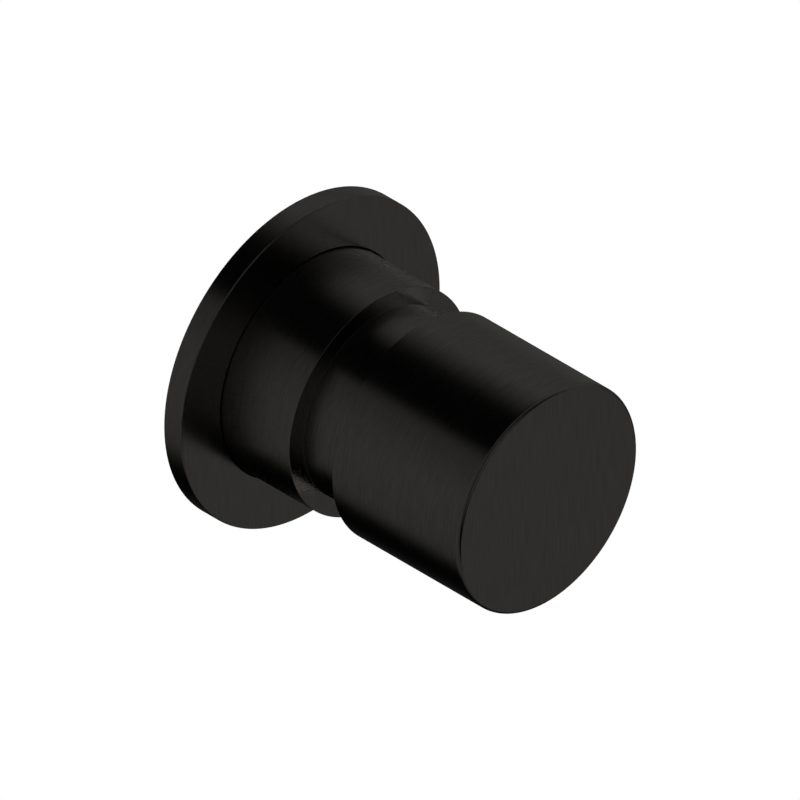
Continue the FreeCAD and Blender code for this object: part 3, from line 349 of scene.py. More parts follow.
def surface_normal(tree):
    """The surface's normal, in the world's frame."""
    return add(tree, "ShaderNodeNewGeometry").outputs["Normal"]


def new_group(name, inputs, outputs):
    """An empty node group with named number inputs and outputs."""
    group = bpy.data.node_groups.new(name, "ShaderNodeTree")
    for label, default in inputs.items():
        socket = group.interface.new_socket(name=label, in_out="INPUT", socket_type="NodeSocketFloat")
        socket.default_value = default
    for label in outputs:
        group.interface.new_socket(name=label, in_out="OUTPUT", socket_type="NodeSocketFloat")
    return group, group.nodes.new("NodeGroupInput").outputs, group.nodes.new("NodeGroupOutput").inputs


def grouped(tree, name, inputs=None):
    """The outputs of a node that holds the named group, with its inputs set or linked."""
    return add(tree, "ShaderNodeGroup", inputs, node_tree=bpy.data.node_groups[name]).outputs


def emptied(owner):
    """The cleared node tree of a material or a world."""
    owner.use_nodes = True
    owner.node_tree.nodes.clear()
    return owner.node_tree


def new_material(name):
    """A material with a Principled shader and nothing else."""
    material = bpy.data.materials.new(name)
    tree = emptied(material)
    shader = add(tree, "ShaderNodeBsdfPrincipled")
    output = add(tree, "ShaderNodeOutputMaterial", {"Surface": shader.outputs[0]})
    output.is_active_output = True
    return material, tree, shader


def millimetres(tree):
    """The point's place in the piece's own frame, in millimetres, as a vector and as x, y and z."""
    place = add(tree, "ShaderNodeTexCoord").outputs["Object"]
    scaled = add(tree, "ShaderNodeVectorMath", {0: place, "Scale": 1 / MM}, operation="SCALE").outputs[0]
    return scaled, *parts_of(tree, scaled)


def about_axis(tree, axis="Y", centre=(0.0, 0.0, 0.0), both_sides=False):
    """Distance from an axis through a centre, place along it and angle round it.

    With both_sides the pattern is the same on the left and on the right of the mixer.
    """
    _, x, y, z = millimetres(tree)
    if both_sides:
        x = maths(tree, "ABSOLUTE", x)
    from_centre = [maths(tree, "SUBTRACT", *pair) for pair in zip((x, y, z), centre)]
    along = from_centre.pop("XYZ".index(axis))
    return distance(tree, *from_centre), along, maths(tree, "ARCTAN2", *from_centre)


def relief(tree, shader, height, depth=MM, strength=1.0):
    """Let a height, in units of the depth, shape the light on the surface."""
    bump = add(tree, "ShaderNodeBump", {"Height": height, "Strength": strength, "Distance": depth})
    tree.links.new(bump.outputs[0], shader.inputs["Normal"])


def finish(tree, shader, shade, colours, roughness, height):
    """Colour and roughness between two limits by a shade, and a relief whose height is in millimetres."""
    dark, light = [(*colour, 1.0) for colour in colours]
    tree.links.new(mixed(tree, shade, dark, light), shader.inputs["Base Color"])
    tree.links.new(remap(tree, shade, *roughness), shader.inputs["Roughness"])
    relief(tree, shader, height)


# Patterns of the finishes

NOISE_RANGE = (0.3, 0.7)    # where most of a noise's values lie
FLAT = (0.6, 0.8)           # how far a normal points along the axis where a face starts to be flat, and is
BROADER = 6.0               # how much broader the broad streaks are than the fine ones
PATCHES = 0.08              # scale of a skin's patches against that of its grain
RING_GROUPS = 0.1           # the same for the groups of a lathe's rings


def flat_faces():
    """Group: 1 on surfaces that face along the mixer's axis, 0 on those that face away from it."""
    group, _, out = new_group("flat_faces", {}, ["Share"])
    steep = maths(group, "ABSOLUTE", parts_of(group, surface_normal(group))[1])
    group.links.new(smooth_step(group, steep, *FLAT), out["Share"])


def brushed_grain():
    """Group: hairlines of a brushed finish, round the axis on the sides and upright on flat faces.

    The streaks are noise, drawn out Length millimetres along the brush and Width across it.
    """
    sockets = {"Length": 8.0, "Width": 0.12}
    group, given, out = new_group("brushed_grain", sockets, ["Fine", "Broad", "Height"])
    _, x, y, z = millimetres(group)
    flat = grouped(group, "flat_faces")["Share"]
    along = maths(group, "DIVIDE", 1.0, given["Length"])
    across = maths(group, "DIVIDE", 1.0, given["Width"])

    def streaks(broader, shift):
        """Streaks so much broader, with those of the faces taken from the noise at a shift."""
        wide = maths(group, "DIVIDE", across, broader)
        sides = [times(group, x, along), times(group, y, wide), times(group, z, along)]
        faces = [times(group, x, wide), shift, times(group, z, along)]
        vectors = [vector_of(group, *parts) for parts in (sides, faces)]
        return between(group, flat, *[noise(group, vector, 1.0, roughness=0.6) for vector in vectors])

    fine = streaks(1.0, shift=3.0)
    broad = streaks(BROADER, shift=11.0)
    group.links.new(fine, out["Fine"])
    group.links.new(broad, out["Broad"])
    group.links.new(weighted(group, (fine, 0.7), (broad, 0.3)), out["Height"])


def fine_skin():
    """Group: the grain of a cast or moulded skin, Size millimetres wide, and soft patches in it."""
    group, given, out = new_group("fine_skin", {"Size": 0.5}, ["Height", "Shade"])
    place = millimetres(group)[0]
    scale = maths(group, "DIVIDE", 1.0, given["Size"])
    grain = noise(group, place, scale)
    patches = noise(group, place, times(group, scale, PATCHES), detail=2.0)
    patches = smooth_step(group, patches, *NOISE_RANGE)
    group.links.new(grain, out["Height"])
    group.links.new(weighted(group, (grain, 0.5), (patches, 0.5)), out["Shade"])


def lathe_rings():
    """Group: rings left by the lathe, a noise of the distance from the axis plus the place along it."""
    sockets = {"Radius": 0.0, "Along": 0.0, "Pitch": 0.15}
    group, given, out = new_group("lathe_rings", sockets, ["Height", "Shade"])
    place = maths(group, "DIVIDE", plus(group, given["Radius"], given["Along"]), given["Pitch"])
    line = vector_of(group, place)
    fine = noise(group, line, 1.0, detail=2.0)
    broad = noise(group, line, RING_GROUPS, detail=1.0)
    group.links.new(fine, out["Height"])
    group.links.new(weighted(group, (fine, 0.5), (broad, 0.5)), out["Shade"])


def screw_thread():
    """Group: a thread's profile, 0 in the roots and 1 on the crests.

    It is a zigzag of the place along the axis, in pitches, plus the turn round it.
    """
    group, given, out = new_group("screw_thread", {"Along": 0.0, "Turn": 0.0, "Pitch": 1.0}, ["Height"])
    turns = maths(group, "DIVIDE", given["Turn"], 2 * math.pi)
    phase = plus(group, maths(group, "DIVIDE", given["Along"], given["Pitch"]), turns)
    ridge = maths(group, "PINGPONG", phase, 0.5)
    group.links.new(times(group, ridge, 2.0), out["Height"])


# The trim's brushed black coat: its colours as seen straight on, and its painted reflection, a far lighter
# colour shown only in a neighbour's mirror image
COAT_DARK = (0.0250, 0.0243, 0.0229, 1.0)
COAT_LIGHT = (0.0346, 0.0335, 0.0315, 1.0)
PAINTED_REFLECTION_SIDE = (1.0, 0.98, 0.95, 1.0)
PAINTED_REFLECTION_FACE = (0.65, 0.635, 0.615, 1.0)
# painted shade in the gap between collar and flange
GAP_SHADE = (0.002, 0.002, 0.002, 1.0)
COAT_TINT = (0.50, 0.50, 0.50, 1.0)     # of what it mirrors at a glancing view
COAT_ROUGHNESS = (0.24, 0.32)
SMOOTHER_FACES = 0.10       # how much less rough the flat faces are
SPREAD = 0.85               # from 0, the same all ways, to 1, only across the hairlines

# Its hairlines, in millimetres, and how strongly they show in the relief
STREAK_LENGTHS = (4.0, 8.0)     # on the sides and on flat faces
STREAK_WIDTH = 0.13
STREAK_DEPTH = 0.02
STREAK_STRENGTH = 0.35


def brushed_black():
    """Brushed steel under a thin black coat: dark, slightly warm, with hairlines that spread the light.

    What the trim mirrors of itself is a painted reflection: its colour in mirrored rays is drawn lighter
    than the coat is, as the photo has it.
    """
    material, tree, shader = new_material("brushed_black")
    flat = grouped(tree, "flat_faces")["Share"]
    sizes = {"Length": remap(tree, flat, *STREAK_LENGTHS), "Width": STREAK_WIDTH}
    grain = grouped(tree, "brushed_grain", sizes)
    coat = mixed(tree, smooth_step(tree, grain["Fine"], *NOISE_RANGE), COAT_DARK, COAT_LIGHT)
    forward = smooth_step(tree, parts_of(tree, surface_normal(tree))[1], *[-limit for limit in FLAT])
    # Painted reflection: in rays mirrored off the trim the coat's colour is far lighter, lightest on the
    # sides and less so on flat faces
    painted_reflection = mixed(tree, forward, PAINTED_REFLECTION_SIDE, PAINTED_REFLECTION_FACE)
    mirrored = add(tree, "ShaderNodeLightPath").outputs["Is Glossy Ray"]
    shade = mixed(tree, mirrored, coat, painted_reflection)
    # Painted shade: in the gap between collar and flange the coat is near black, dull and not metal
    gap = painted_gap_shade(tree)
    tree.links.new(mixed(tree, gap, shade, GAP_SHADE), shader.inputs["Base Color"])
    tree.links.new(maths(tree, "SUBTRACT", 1.0, gap), shader.inputs["Metallic"])
    rough = remap(tree, grain["Broad"], *COAT_ROUGHNESS)
    rough = maths(tree, "SUBTRACT", rough, times(tree, flat, SMOOTHER_FACES))
    tree.links.new(largest(tree, rough, gap), shader.inputs["Roughness"])
    relief(tree, shader, grain["Height"], STREAK_DEPTH * MM, STREAK_STRENGTH)
    shader.inputs["Specular Tint"].default_value = COAT_TINT
    shader.inputs["Anisotropic"].default_value = SPREAD
    shader.inputs["Specular IOR Level"].default_value = 0.0
    tree.links.new(across_the_brush(tree), shader.inputs["Tangent"])
    return material


def painted_gap_shade(tree):
    """1 in the narrow gap between collar and flange, where painted shade makes the coat near black and
    dull, and 0 elsewhere.
    """
    radius, deep, _ = about_axis(tree)
    flange_front = -reach("escutcheon")[1]
    inside = maths(tree, "LESS_THAN", radius, half_width("trim_sleeve") + FLANGE_GAP + SHARP)
    behind = maths(tree, "GREATER_THAN", deep, flange_front + SHARP / 8)
    return times(tree, inside, behind)


def across_the_brush(tree):
    """The direction in which hairlines spread the light, in the world's frame.

    Along the axis on the sides, where they run round it, and level on flat faces, where they
    stand upright.
    """
    to_own = {"vector_type": "NORMAL", "convert_from": "WORLD", "convert_to": "OBJECT"}
    to_world = {"vector_type": "VECTOR", "convert_from": "OBJECT", "convert_to": "WORLD"}
    normal = {0: surface_normal(tree)}
    own_normal = add(tree, "ShaderNodeVectorTransform", normal, **to_own).outputs[0]
    steep = maths(tree, "ABSOLUTE", parts_of(tree, own_normal)[1])
    level = {0: smooth_step(tree, steep, *FLAT), 4: (0.0, 1.0, 0.0), 5: (1.0, 0.0, 0.0)}
    own = add(tree, "ShaderNodeMix", level, data_type="VECTOR").outputs[1]
    return add(tree, "ShaderNodeVectorTransform", {0: own}, **to_world).outputs[0]


# The other finishes: dark and light colour, and the least and the most roughness
BRASS = ((0.62, 0.45, 0.20), (0.78, 0.60, 0.31)), (0.18, 0.30)
STEEL = ((0.40, 0.40, 0.41), (0.58, 0.58, 0.59)), (0.20, 0.32)
ZINC = ((0.40, 0.42, 0.45), (0.66, 0.68, 0.70)), (0.30, 0.46)

# Moulded, fired and pressed ones have also the width and the depth of their grain, in millimetres
MOULDED = {
    "grey_plastic": (((0.25, 0.26, 0.28), (0.33, 0.34, 0.36)), (0.42, 0.55), 0.25, 0.010),
    "white_plastic": (((0.79, 0.79, 0.76), (0.88, 0.88, 0.86)), (0.30, 0.42), 0.25, 0.006),
    "red_plastic": (((0.48, 0.042, 0.034), (0.62, 0.070, 0.055)), (0.38, 0.50), 0.25, 0.008),
    "ceramic_white": (((0.85, 0.84, 0.80), (0.91, 0.90, 0.88)), (0.08, 0.18), 0.10, 0.002),
    "black_rubber": (((0.018, 0.018, 0.018), (0.034, 0.034, 0.035)), (0.58, 0.74), 0.3, 0.012),
    "plug_fibre": (((0.22, 0.050, 0.036), (0.34, 0.098, 0.070)), (0.70, 0.86), 0.4, 0.030),
}

# Grain of the metals, in millimetres
TURNED_GRAIN = 0.8
TURNED_PITCH = 0.12
TURNED_DEPTH = 0.012
ROLLED_GRAIN = 1.3
ROLLED_DEPTH = 0.02
ROLLING_LINES = (2.2, 2.2, 0.08)    # lines in a millimetre along x, y and z
ROLLING_DEPTH = 0.012
CAST_GRAIN = 0.55
CAST_DEPTH = 0.22
CUT_PITCH = 0.2
CUT_DEPTH = 0.015


def moulded(name, colours, roughness, grain, depth):
    """Plastic, rubber, ceramic or fibre: one colour with a fine skin, grain wide and depth deep."""
    material, tree, shader = new_material(name)
    skin = grouped(tree, "fine_skin", {"Size": grain})
    finish(tree, shader, skin["Shade"], colours, roughness, times(tree, skin["Height"], depth))
    return material


def turned_metal(name, metal, **axis):
    """Metal off the lathe, with fine rings about its axis."""
    material, tree, shader = new_material(name)
    radius, along, _ = about_axis(tree, **axis)
    rings = grouped(tree, "lathe_rings", {"Radius": radius, "Along": along, "Pitch": TURNED_PITCH})
    skin = grouped(tree, "fine_skin", {"Size": TURNED_GRAIN})
    shade = weighted(tree, (rings["Shade"], 0.6), (skin["Shade"], 0.4))
    finish(tree, shader, shade, *metal, times(tree, rings["Height"], TURNED_DEPTH))
    shader.inputs["Metallic"].default_value = 1.0
    return material


def zinc_steel():
    """Rolled, zinc-plated sheet: pale blue-grey with faint upright rolling lines and cloudy patches."""
    material, tree, shader = new_material("zinc_steel")
    place = millimetres(tree)[1:]
    lines = [times(tree, part, scale) for part, scale in zip(place, ROLLING_LINES)]
    rolled = noise(tree, vector_of(tree, *lines), 1.0)
    skin = grouped(tree, "fine_skin", {"Size": ROLLED_GRAIN})
    shade = weighted(tree, (rolled, 0.35), (skin["Shade"], 0.65))
    height = weighted(tree, (rolled, ROLLING_DEPTH), (skin["Height"], ROLLED_DEPTH))
    finish(tree, shader, shade, *ZINC, height)
    shader.inputs["Metallic"].default_value = 1.0
    return material


# Where the casting was cut, in millimetres from the mixer's axis or behind the wall
PIPES_DEEP = 42.0           # the pipes' axes
PIPE_BORE = 9.32            # radius of the bores
BORES_FROM = 20.0
GRIPS_FROM = 26.0           # the bosses' wrench grips
MOUTH_RADIUS = 20.6
MOUTH_DEEP = 11.4
BACK_DEEP = 54.9
CHAMBER_RADIUS = 18.7
CHAMBER_DEEP = 26.6
PIPE_PITCH = 1.814
PIPE_RIDGE = 1.1            # height of their thread
MOUTH_PITCH = 1.0
MOUTH_RIDGE = 0.5
EDGE_OF_CUT = 0.15          # how far a cut face's edge passes into the cast skin
THREAD_FADE = 0.1           # half the width over which a thread fades

# Dark and light colour of its cast skin and of its cut faces, and their roughness there
CAST_COLOURS = (0.30, 0.185, 0.065, 1.0), (0.58, 0.40, 0.17, 1.0)
CAST_ROUGHNESS = (0.62, 0.45)
CUT_COLOURS = (0.66, 0.47, 0.20, 1.0), (0.80, 0.61, 0.31, 1.0)
CUT_ROUGHNESS = (0.22, 0.34)


def below(tree, value, limit):
    """1 where the value is less than the limit, with a narrow passage to 0."""
    return smooth_step(tree, value, limit + EDGE_OF_CUT, limit)


def beyond(tree, value, limit):
    """1 where the value is more than the limit, with a narrow passage from 0."""
    return smooth_step(tree, value, limit - EDGE_OF_CUT, limit)


def past_start(tree, value, start):
    """0 before a thread's start and 1 past it."""
    return smooth_step(tree, value, start - THREAD_FADE, start + THREAD_FADE)


def cast_brass():
    """Sand-cast brass, dull and grained, bright where it was cut.

    Cut are the mouth and the cartridge's chamber about the mixer's axis, the back, and at each of
    the four bosses the wrench grips, the end and the threaded bore about the pipe's axis.
    """
    material, tree, shader = new_material("cast_brass")
    radius, deep, turn = about_axis(tree)
    _, x, _, z = millimetres(tree)
    to_side, to_end = maths(tree, "ABSOLUTE", x), maths(tree, "ABSOLUTE", z)
    along = largest(tree, to_side, to_end)
    across = between(tree, maths(tree, "GREATER_THAN", to_side, to_end), x, z)
    from_pipe = maths(tree, "SUBTRACT", deep, PIPES_DEEP)
    pipe_radius = distance(tree, across, from_pipe)
    pipe_turn = maths(tree, "ARCTAN2", across, from_pipe)

    in_bore = below(tree, pipe_radius, PIPE_BORE + 2 * EDGE_OF_CUT)
    bore = times(tree, in_bore, past_start(tree, along, BORES_FROM))
    mouth = times(tree, below(tree, deep, MOUTH_DEEP), below(tree, radius, MOUTH_RADIUS))
    on_thread = past_start(tree, radius, MOUTH_RADIUS - MOUTH_RIDGE)
    chamber = times(tree, below(tree, radius, CHAMBER_RADIUS), below(tree, deep, CHAMBER_DEEP))
    grips = beyond(tree, along, GRIPS_FROM)
    back = beyond(tree, deep, BACK_DEEP)
    cut = largest(tree, bore, mouth, chamber, grips, back)

    skin = grouped(tree, "fine_skin", {"Size": CAST_GRAIN})
    rings = grouped(tree, "lathe_rings", {"Radius": pipe_radius, "Along": along, "Pitch": CUT_PITCH})
    pipe_thread = {"Along": along, "Turn": pipe_turn, "Pitch": PIPE_PITCH}
    mouth_thread = {"Along": deep, "Turn": turn, "Pitch": MOUTH_PITCH}
    heights = [
        (skin["Height"], times(tree, maths(tree, "SUBTRACT", 1.0, cut), CAST_DEPTH)),
        (rings["Height"], times(tree, cut, CUT_DEPTH)),
        (grouped(tree, "screw_thread", pipe_thread)["Height"], times(tree, bore, PIPE_RIDGE)),
        (grouped(tree, "screw_thread", mouth_thread)["Height"], times(tree, mouth, on_thread, MOUTH_RIDGE)),
    ]
    relief(tree, shader, weighted(tree, *heights))

    cast_colour = mixed(tree, skin["Shade"], *CAST_COLOURS)
    cut_colour = mixed(tree, rings["Shade"], *CUT_COLOURS)
    tree.links.new(mixed(tree, cut, cast_colour, cut_colour), shader.inputs["Base Color"])
    cast_rough = remap(tree, skin["Shade"], *CAST_ROUGHNESS)
    cut_rough = remap(tree, rings["Shade"], *CUT_ROUGHNESS)
    tree.links.new(between(tree, cut, cast_rough, cut_rough), shader.inputs["Roughness"])
    shader.inputs["Metallic"].default_value = 1.0
    return material


def make_materials():
    """One material for each of the record's slots."""
    for make_group in (flat_faces, brushed_grain, fine_skin, lathe_rings, screw_thread):
        make_group()
    made = {name: moulded(name, *looks) for name, looks in MOULDED.items()}
    made["brushed_black"] = brushed_black()
    made["cast_brass"] = cast_brass()
    made["zinc_steel"] = zinc_steel()
    made["turned_brass"] = turned_metal("turned_brass", BRASS)
    made["screw_steel"] = turned_metal("screw_steel", STEEL)
    return made


def paint_cad_nodes():
    """Give every CAD node the material of its slot, or the one that follows its own axis."""
    pipe = {"axis": "Z", "centre": (0.0, PIPES_DEEP, 0.0)}
    grub = {"axis": "Z", "centre": (0.0, -sum(reach("knob_grub_screw")) / 2, 0.0)}
    low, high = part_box("bracket_screws")
    half_head = (high[2] - low[2]) / 2 / MM
    pair = {"axis": "Y", "centre": (high[0] / MM - half_head, 0.0, 0.0), "both_sides": True}
    own = {
        "outlet_plug": turned_metal("turned_brass_plug", BRASS, **pipe),
        "knob_grub_screw": turned_metal("steel_grub_screw", STEEL, **grub),
        "bracket_screws": turned_metal("steel_cap_screws", STEEL, **pair),
    }
    for name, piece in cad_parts.items():
        for place in piece.material_slots:
            place.material = own.get(name) or materials[place.material.name]


# The trim in front of the wall

def dress(piece, slot, body, *nodes):
    """Put the slot's material on a new piece that stands for CAD nodes and moves with a body."""
    piece.data.materials.append(materials[slot])
    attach(piece, body)
    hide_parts(*nodes)


def half_width(node):
    """Outer radius of a CAD node that is round about the mixer's axis, in millimetres."""
    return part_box(node)[1][0] / MM


def reach(node):
    """How far a CAD node's back and front lie out of the wall, in millimetres."""
    low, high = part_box(node)
    return -high[1] / MM, -low[1] / MM


# Walls, gaps and edges of the trim, in millimetres
KNOB_WALL = 3.2
KNOB_FACE = 4.0
KNOB_EDGE = 0.8
HUB_WALL = 3.45
HUB_RECESS = 5.0
INSERT_GAP = 0.05
KEY_HOLE = 2.4              # radius
GRUB_GAP = 0.05
SHOULDER_OUT = 21.6         # from the finished wall
SHOULDER_WIDTH = 3.5
SHOULDER_THICKNESS = 4.1
COLLAR_WALL = 1.8
NECK_WALL = 2.8
GLIDE_DEPTH = 1.0
GLIDE_GAP = 0.05
FLANGE_GAP = 0.25
FLANGE_EDGE = 0.3
GASKET_WIDTH = 4.5
GASKET_GAP = 0.1
RING_GROOVE = 1.0
RING_GROOVE_HALF = 1.0
RING_HALF = 0.62
RING_ROUND = 0.5
RING_SQUEEZE = 0.01
SHARP = 0.12                # round of an edge that shows
HIDDEN = 0.05               # and of one that is covered
FLANGE_STEPS = 360          # once round the axis
RING_STEPS = 192


def make_knob():
    """The knob's skirt with its key hole, front face, and hub with the grub screw's hole."""
    radius = half_width("knob")
    back, front = reach("knob")
    bore = radius - KNOB_WALL
    floor = front - KNOB_FACE
    hub_bore = half_width("knob_insert") + INSERT_GAP
    hub = hub_bore + HUB_WALL
    hub_back = back + HUB_RECESS
    hub_floor = reach("knob_insert")[1]
    grub = sum(reach("knob_grub_screw")) / 2
    thread = half_width("knob_grub_screw") + GRUB_GAP
    corners = [
        (0.0, hub_floor, 0.0),
        (hub_bore, hub_floor, HIDDEN),
        *hole_frame(hub_bore, grub, thread, rising=False),
        (hub_bore, hub_back, HIDDEN),
        (hub, hub_back, HIDDEN),
        *hole_frame(hub, grub, thread, rising=True),
        (hub, floor, HIDDEN),
        (bore, floor, HIDDEN),
        *hole_frame(bore, grub, KEY_HOLE, rising=False),
        (bore, back, HIDDEN),
        (radius, back, HIDDEN),
        *hole_frame(radius, grub, KEY_HOLE, rising=True),
        (radius, front, KNOB_EDGE),
        (0.0, front, 0.0),
    ]
    holes = [(grub, thread, (hub, hub_bore)), (grub, KEY_HOLE, (radius, bore))]
    piece = turned_piece("knob_shell", corners, closed=False, holes=holes)
    dress(piece, "brushed_black", "handle", "knob")


def make_collar_and_neck():
    """The collar, the flat shoulder and the neck with the groove of the ring that the knob turns on."""
    radius = half_width("trim_sleeve")
    back, front = reach("trim_sleeve")
    neck = radius - SHOULDER_WIDTH
    neck_bore = neck - NECK_WALL
    sleeve_bore = radius - COLLAR_WALL
    floor = SHOULDER_OUT - SHOULDER_THICKNESS
    groove_back, groove_front = reach("glide_ring")
    groove_back -= GLIDE_GAP
    groove_front += GLIDE_GAP
    corners = [
        (radius, back, SHARP),
        (radius, SHOULDER_OUT, SHARP),
        (neck, SHOULDER_OUT, HIDDEN),
        (neck, groove_back, HIDDEN),
        (neck - GLIDE_DEPTH, groove_back, HIDDEN),
        (neck - GLIDE_DEPTH, groove_front, HIDDEN),
        (neck, groove_front, HIDDEN),
        (neck, front, HIDDEN),
        (neck_bore, front, HIDDEN),
        (neck_bore, floor, HIDDEN),
        (sleeve_bore, floor, HIDDEN),
        (sleeve_bore, back, HIDDEN),
    ]
    piece = turned_piece("collar_and_neck", corners)
    dress(piece, "brushed_black", "valve", "trim_sleeve")


def make_flange():
    """The wall flange, with the gasket's groove in its back and the ring's groove in its hole."""
    radius = half_width("escutcheon")
    _, front = reach("escutcheon")
    hole = half_width("trim_sleeve") + FLANGE_GAP
    gasket_out = half_width("wall_gasket") + GASKET_GAP
    gasket_in = gasket_out - GASKET_WIDTH
    gasket_depth = reach("wall_gasket")[1]
    ring = sum(reach("escutcheon_o_ring")) / 2
    corners = [
        (hole, 0.0, HIDDEN),
        (gasket_in, 0.0, HIDDEN),
        (gasket_in, gasket_depth, HIDDEN),
        (gasket_out, gasket_depth, HIDDEN),
        (gasket_out, 0.0, HIDDEN),
        (radius, 0.0, SHARP),
        (radius, front, FLANGE_EDGE),
        (hole, front, SHARP),
        (hole, ring + RING_GROOVE_HALF, HIDDEN),
        (hole + RING_GROOVE, ring + RING_GROOVE_HALF, HIDDEN),
        (hole + RING_GROOVE, ring - RING_GROOVE_HALF, HIDDEN),
        (hole, ring - RING_GROOVE_HALF, HIDDEN),
    ]
    piece = turned_piece("wall_flange", corners, FLANGE_STEPS)
    dress(piece, "brushed_black", "valve", "escutcheon")


def make_flange_ring():
    """The rubber ring that grips the collar, pressed a little flat against it and its groove."""
    inner = half_width("trim_sleeve") - RING_SQUEEZE
    outer = half_width("trim_sleeve") + FLANGE_GAP + RING_GROOVE + RING_SQUEEZE
    ring = sum(reach("escutcheon_o_ring")) / 2
    corners = [
        (inner, ring - RING_HALF, RING_ROUND),
        (outer, ring - RING_HALF, RING_ROUND),
        (outer, ring + RING_HALF, RING_ROUND),
        (inner, ring + RING_HALF, RING_ROUND),
    ]
    piece = turned_piece("flange_ring", corners, RING_STEPS)
    dress(piece, "black_rubber", "valve", "escutcheon_o_ring")


# Studio

# Wall and floor, in metres
WALL_HALF = 1.2
WALL_HOLE = 0.028
WALL_STEPS = 128
FLOOR_BELOW = -0.30
FLOOR_HALF = 3.0
FLOOR_REACH = 5.0
FLOOR_GREY = (0.9, 0.9, 0.9, 1.0)
FLOOR_ROUGHNESS = 0.8
WHITE = (1.0, 1.0, 1.0, 1.0)
LAMP_WHITE = (1.0, 0.985, 0.965, 1.0)

# Windows of light round the wall's normal. Their edges are degrees from level on their own side,
# counted upwards on the right and downwards on the left: where a window starts, is full, starts to
# fade and is gone. One that grows does so between two angles, from its least to its full strength.
RIGHT_EDGES = (-51.0, -39.0, 46.0, 84.0)
RIGHT_GROWS = (-36.0, 18.0)
RIGHT_STRENGTH = (0.11, 1.12)
LEFT_EDGES = (-59.0, -45.0, 53.0, 66.0)
LEFT_GROWS = (-52.0, 0.0)
LEFT_STRENGTH = (0.58, 0.93)
GLOW_EDGES = (-100.0, -60.0, -45.0, 0.0)
GLOW_STRENGTH = 0.06
LOW_EDGES = (-62.0, -52.0, -25.0, -10.0)
LOW_STRENGTH = 1.8
WIDE_EDGES = (-89.0, -65.0, 35.0, 59.0)
WIDE_STRENGTH = (0.75, 1.0)
SLOPE_EDGES = (-36.0, 8.0, -26.0, 60.0)
SLOPE_STRENGTH = 1.8
FAINT_EDGES = (-72.0, -18.0, 35.0, 90.0)
FAINT_STRENGTH = 0.28

# A direction's y is -1 straight in front of the wall and 1 straight behind it. Each pair is where a
# light starts and where it is full.
AHEAD = (-0.88, -0.97)
AROUND = (-0.82, -0.70)
BACK = (-0.45, -0.05)


def studio_world():
    """Soft light by where it comes from, white to the camera.

    From behind the wall's plane, where the sides of knob, collar and flange look, two windows and
    a glow leave a dark strip overhead and one underneath. From the front it is bright, with a dark
    ring round the middle. What the trim shows in the mirror image of a neighbour, so mirrored
    twice, has one low window behind, and in front a slope of light on the right and a faint one
    on the left.
    """
    world = bpy.data.worlds.new("studio")
    bpy.context.scene.world = world
    tree = emptied(world)
    x, y, z = parts_of(tree, add(tree, "ShaderNodeTexCoord").outputs["Generated"])

    def angle_from(middle):
        """Degrees round the wall's normal from a middle direction, between -180 and 180."""
        turn = math.radians(middle)
        beside = maths(tree, "SUBTRACT", times(tree, z, math.cos(turn)), times(tree, x, math.sin(turn)))
        ahead = weighted(tree, (x, math.cos(turn)), (z, math.sin(turn)))
        return times(tree, maths(tree, "ARCTAN2", beside, ahead), math.degrees(1.0))

    def window(angle, edges, strength=1.0):
        """Light that rises from the first edge to the second and falls from the third to the last."""
        start, full, fading, gone = edges
        rise = smooth_step(tree, angle, start, full)
        return times(tree, rise, smooth_step(tree, angle, gone, fading), strength)

    from_right, from_left = angle_from(0.0), angle_from(180.0)
    path = add(tree, "ShaderNodeLightPath").outputs
    twice = maths(tree, "GREATER_THAN", path["Glossy Depth"], 1.5)

    right_strength = remap(tree, smooth_step(tree, from_right, *RIGHT_GROWS), *RIGHT_STRENGTH)
    left_strength = remap(tree, smooth_step(tree, from_left, *LEFT_GROWS), *LEFT_STRENGTH)
    right = window(from_right, RIGHT_EDGES, right_strength)
    left = window(from_left, LEFT_EDGES, left_strength)
    glow = window(from_right, GLOW_EDGES, GLOW_STRENGTH)
    low = window(from_right, LOW_EDGES, LOW_STRENGTH)
    behind = between(tree, twice, largest(tree, right, left, glow), low)

    wide = remap(tree, window(from_right, WIDE_EDGES), *WIDE_STRENGTH)
    around = times(tree, wide, smooth_step(tree, y, *AROUND))
    slope = window(from_right, SLOPE_EDGES, SLOPE_STRENGTH)
    faint = window(from_left, FAINT_EDGES, FAINT_STRENGTH)
    in_front = between(tree, twice, around, largest(tree, slope, faint))
    in_front = largest(tree, in_front, smooth_step(tree, y, *AHEAD))

    light = between(tree, smooth_step(tree, y, *BACK), in_front, behind)
    lit = add(tree, "ShaderNodeBackground", {"Color": LAMP_WHITE, "Strength": light})
    white = add(tree, "ShaderNodeBackground", {"Color": WHITE, "Strength": 1.0})
    shown = {0: path["Is Camera Ray"], 1: lit.outputs[0], 2: white.outputs[0]}
    both = add(tree, "ShaderNodeMixShader", shown)
    add(tree, "ShaderNodeOutputWorld", {"Surface": both.outputs[0]})


def backdrop_material():
    """White to the camera from the front, and not there for anything else."""
    material = bpy.data.materials.new("white_wall")
    tree = emptied(material)
    behind = add(tree, "ShaderNodeNewGeometry").outputs["Backfacing"]
    seen = add(tree, "ShaderNodeLightPath").outputs["Is Camera Ray"]
    share = times(tree, seen, maths(tree, "SUBTRACT", 1.0, behind))
    white = add(tree, "ShaderNodeEmission", {"Color": WHITE, "Strength": 1.0})
    clear = add(tree, "ShaderNodeBsdfTransparent")
    both = add(tree, "ShaderNodeMixShader", {0: share, 1: clear.outputs[0], 2: white.outputs[0]})
    add(tree, "ShaderNodeOutputMaterial", {"Surface": both.outputs[0]})
    return material


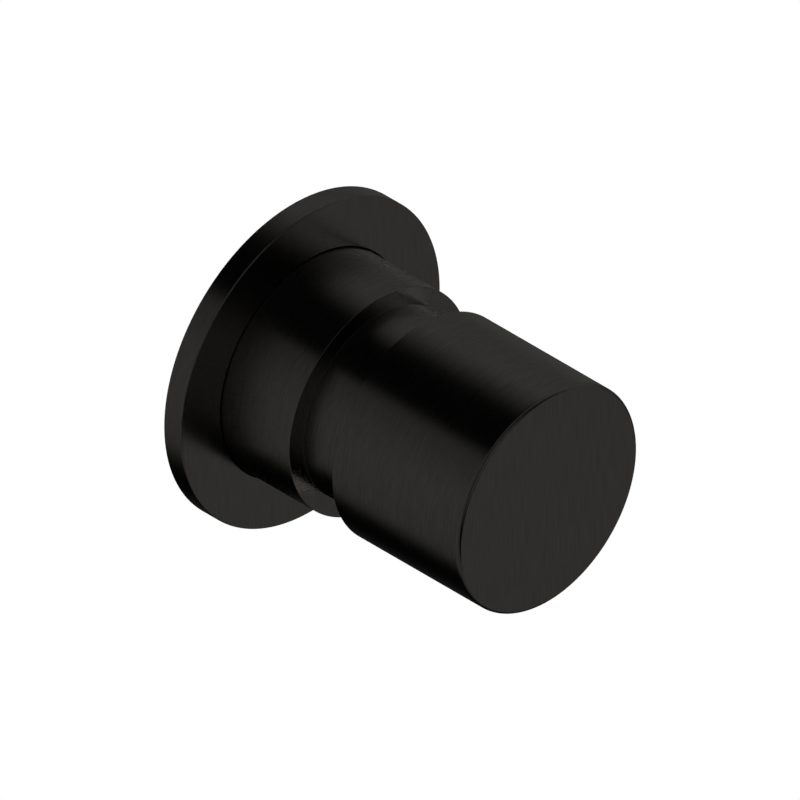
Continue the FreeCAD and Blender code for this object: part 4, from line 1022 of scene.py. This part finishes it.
def add_wall():
    """The finished wall: a square with a round hole that the flange covers.

    At the angle a its inner edge lies at the hole's radius and its outer edge on the square, at
    half its side divided by the larger of |cos a| and |sin a|.
    """
    angle = np.linspace(0.0, 2 * math.pi, WALL_STEPS, endpoint=False)
    edge = WALL_HALF / np.maximum(abs(np.cos(angle)), abs(np.sin(angle)))
    rows = [np.full(WALL_STEPS, WALL_HOLE), edge]
    points = np.stack([np.stack([r * np.cos(angle), 0 * angle, r * np.sin(angle)], axis=1) for r in rows])
    faces = grid_faces(2, WALL_STEPS, wrap_columns=True).tolist()
    wall = mesh_object("wall", points.reshape(-1, 3) / MM, faces)
    wall.data.materials.append(backdrop_material())


def floor_material():
    """Pale, plain white to the camera, and not there in what mirrors the room."""
    material = bpy.data.materials.new("pale_floor")
    tree = emptied(material)
    path = add(tree, "ShaderNodeLightPath").outputs
    pale = add(tree, "ShaderNodeBsdfPrincipled", {"Base Color": FLOOR_GREY, "Roughness": FLOOR_ROUGHNESS})
    white = add(tree, "ShaderNodeEmission", {"Color": WHITE, "Strength": 1.0})
    clear = add(tree, "ShaderNodeBsdfTransparent")
    seen = {0: path["Is Camera Ray"], 1: pale.outputs[0], 2: white.outputs[0]}
    shown = add(tree, "ShaderNodeMixShader", seen)
    mirrored = {0: path["Is Glossy Ray"], 1: shown.outputs[0], 2: clear.outputs[0]}
    both = add(tree, "ShaderNodeMixShader", mirrored)
    add(tree, "ShaderNodeOutputMaterial", {"Surface": both.outputs[0]})
    return material


def add_floor():
    """The floor in front of the wall, a plain rectangle."""
    left, front, right = -FLOOR_HALF, -FLOOR_REACH, FLOOR_HALF
    points = np.array([[left, front], [right, front], [right, 0.0], [left, 0.0]])
    points = np.column_stack([points, np.full(4, FLOOR_BELOW)])
    floor = mesh_object("floor", points / MM, [(0, 1, 2, 3)])
    floor.data.materials.append(floor_material())


add_camera()
studio_world()
materials = make_materials()
paint_cad_nodes()
make_knob()
make_collar_and_neck()
make_flange()
make_flange_ring()
add_wall()
add_floor()
bpy.context.scene.view_settings.view_transform = "Standard"
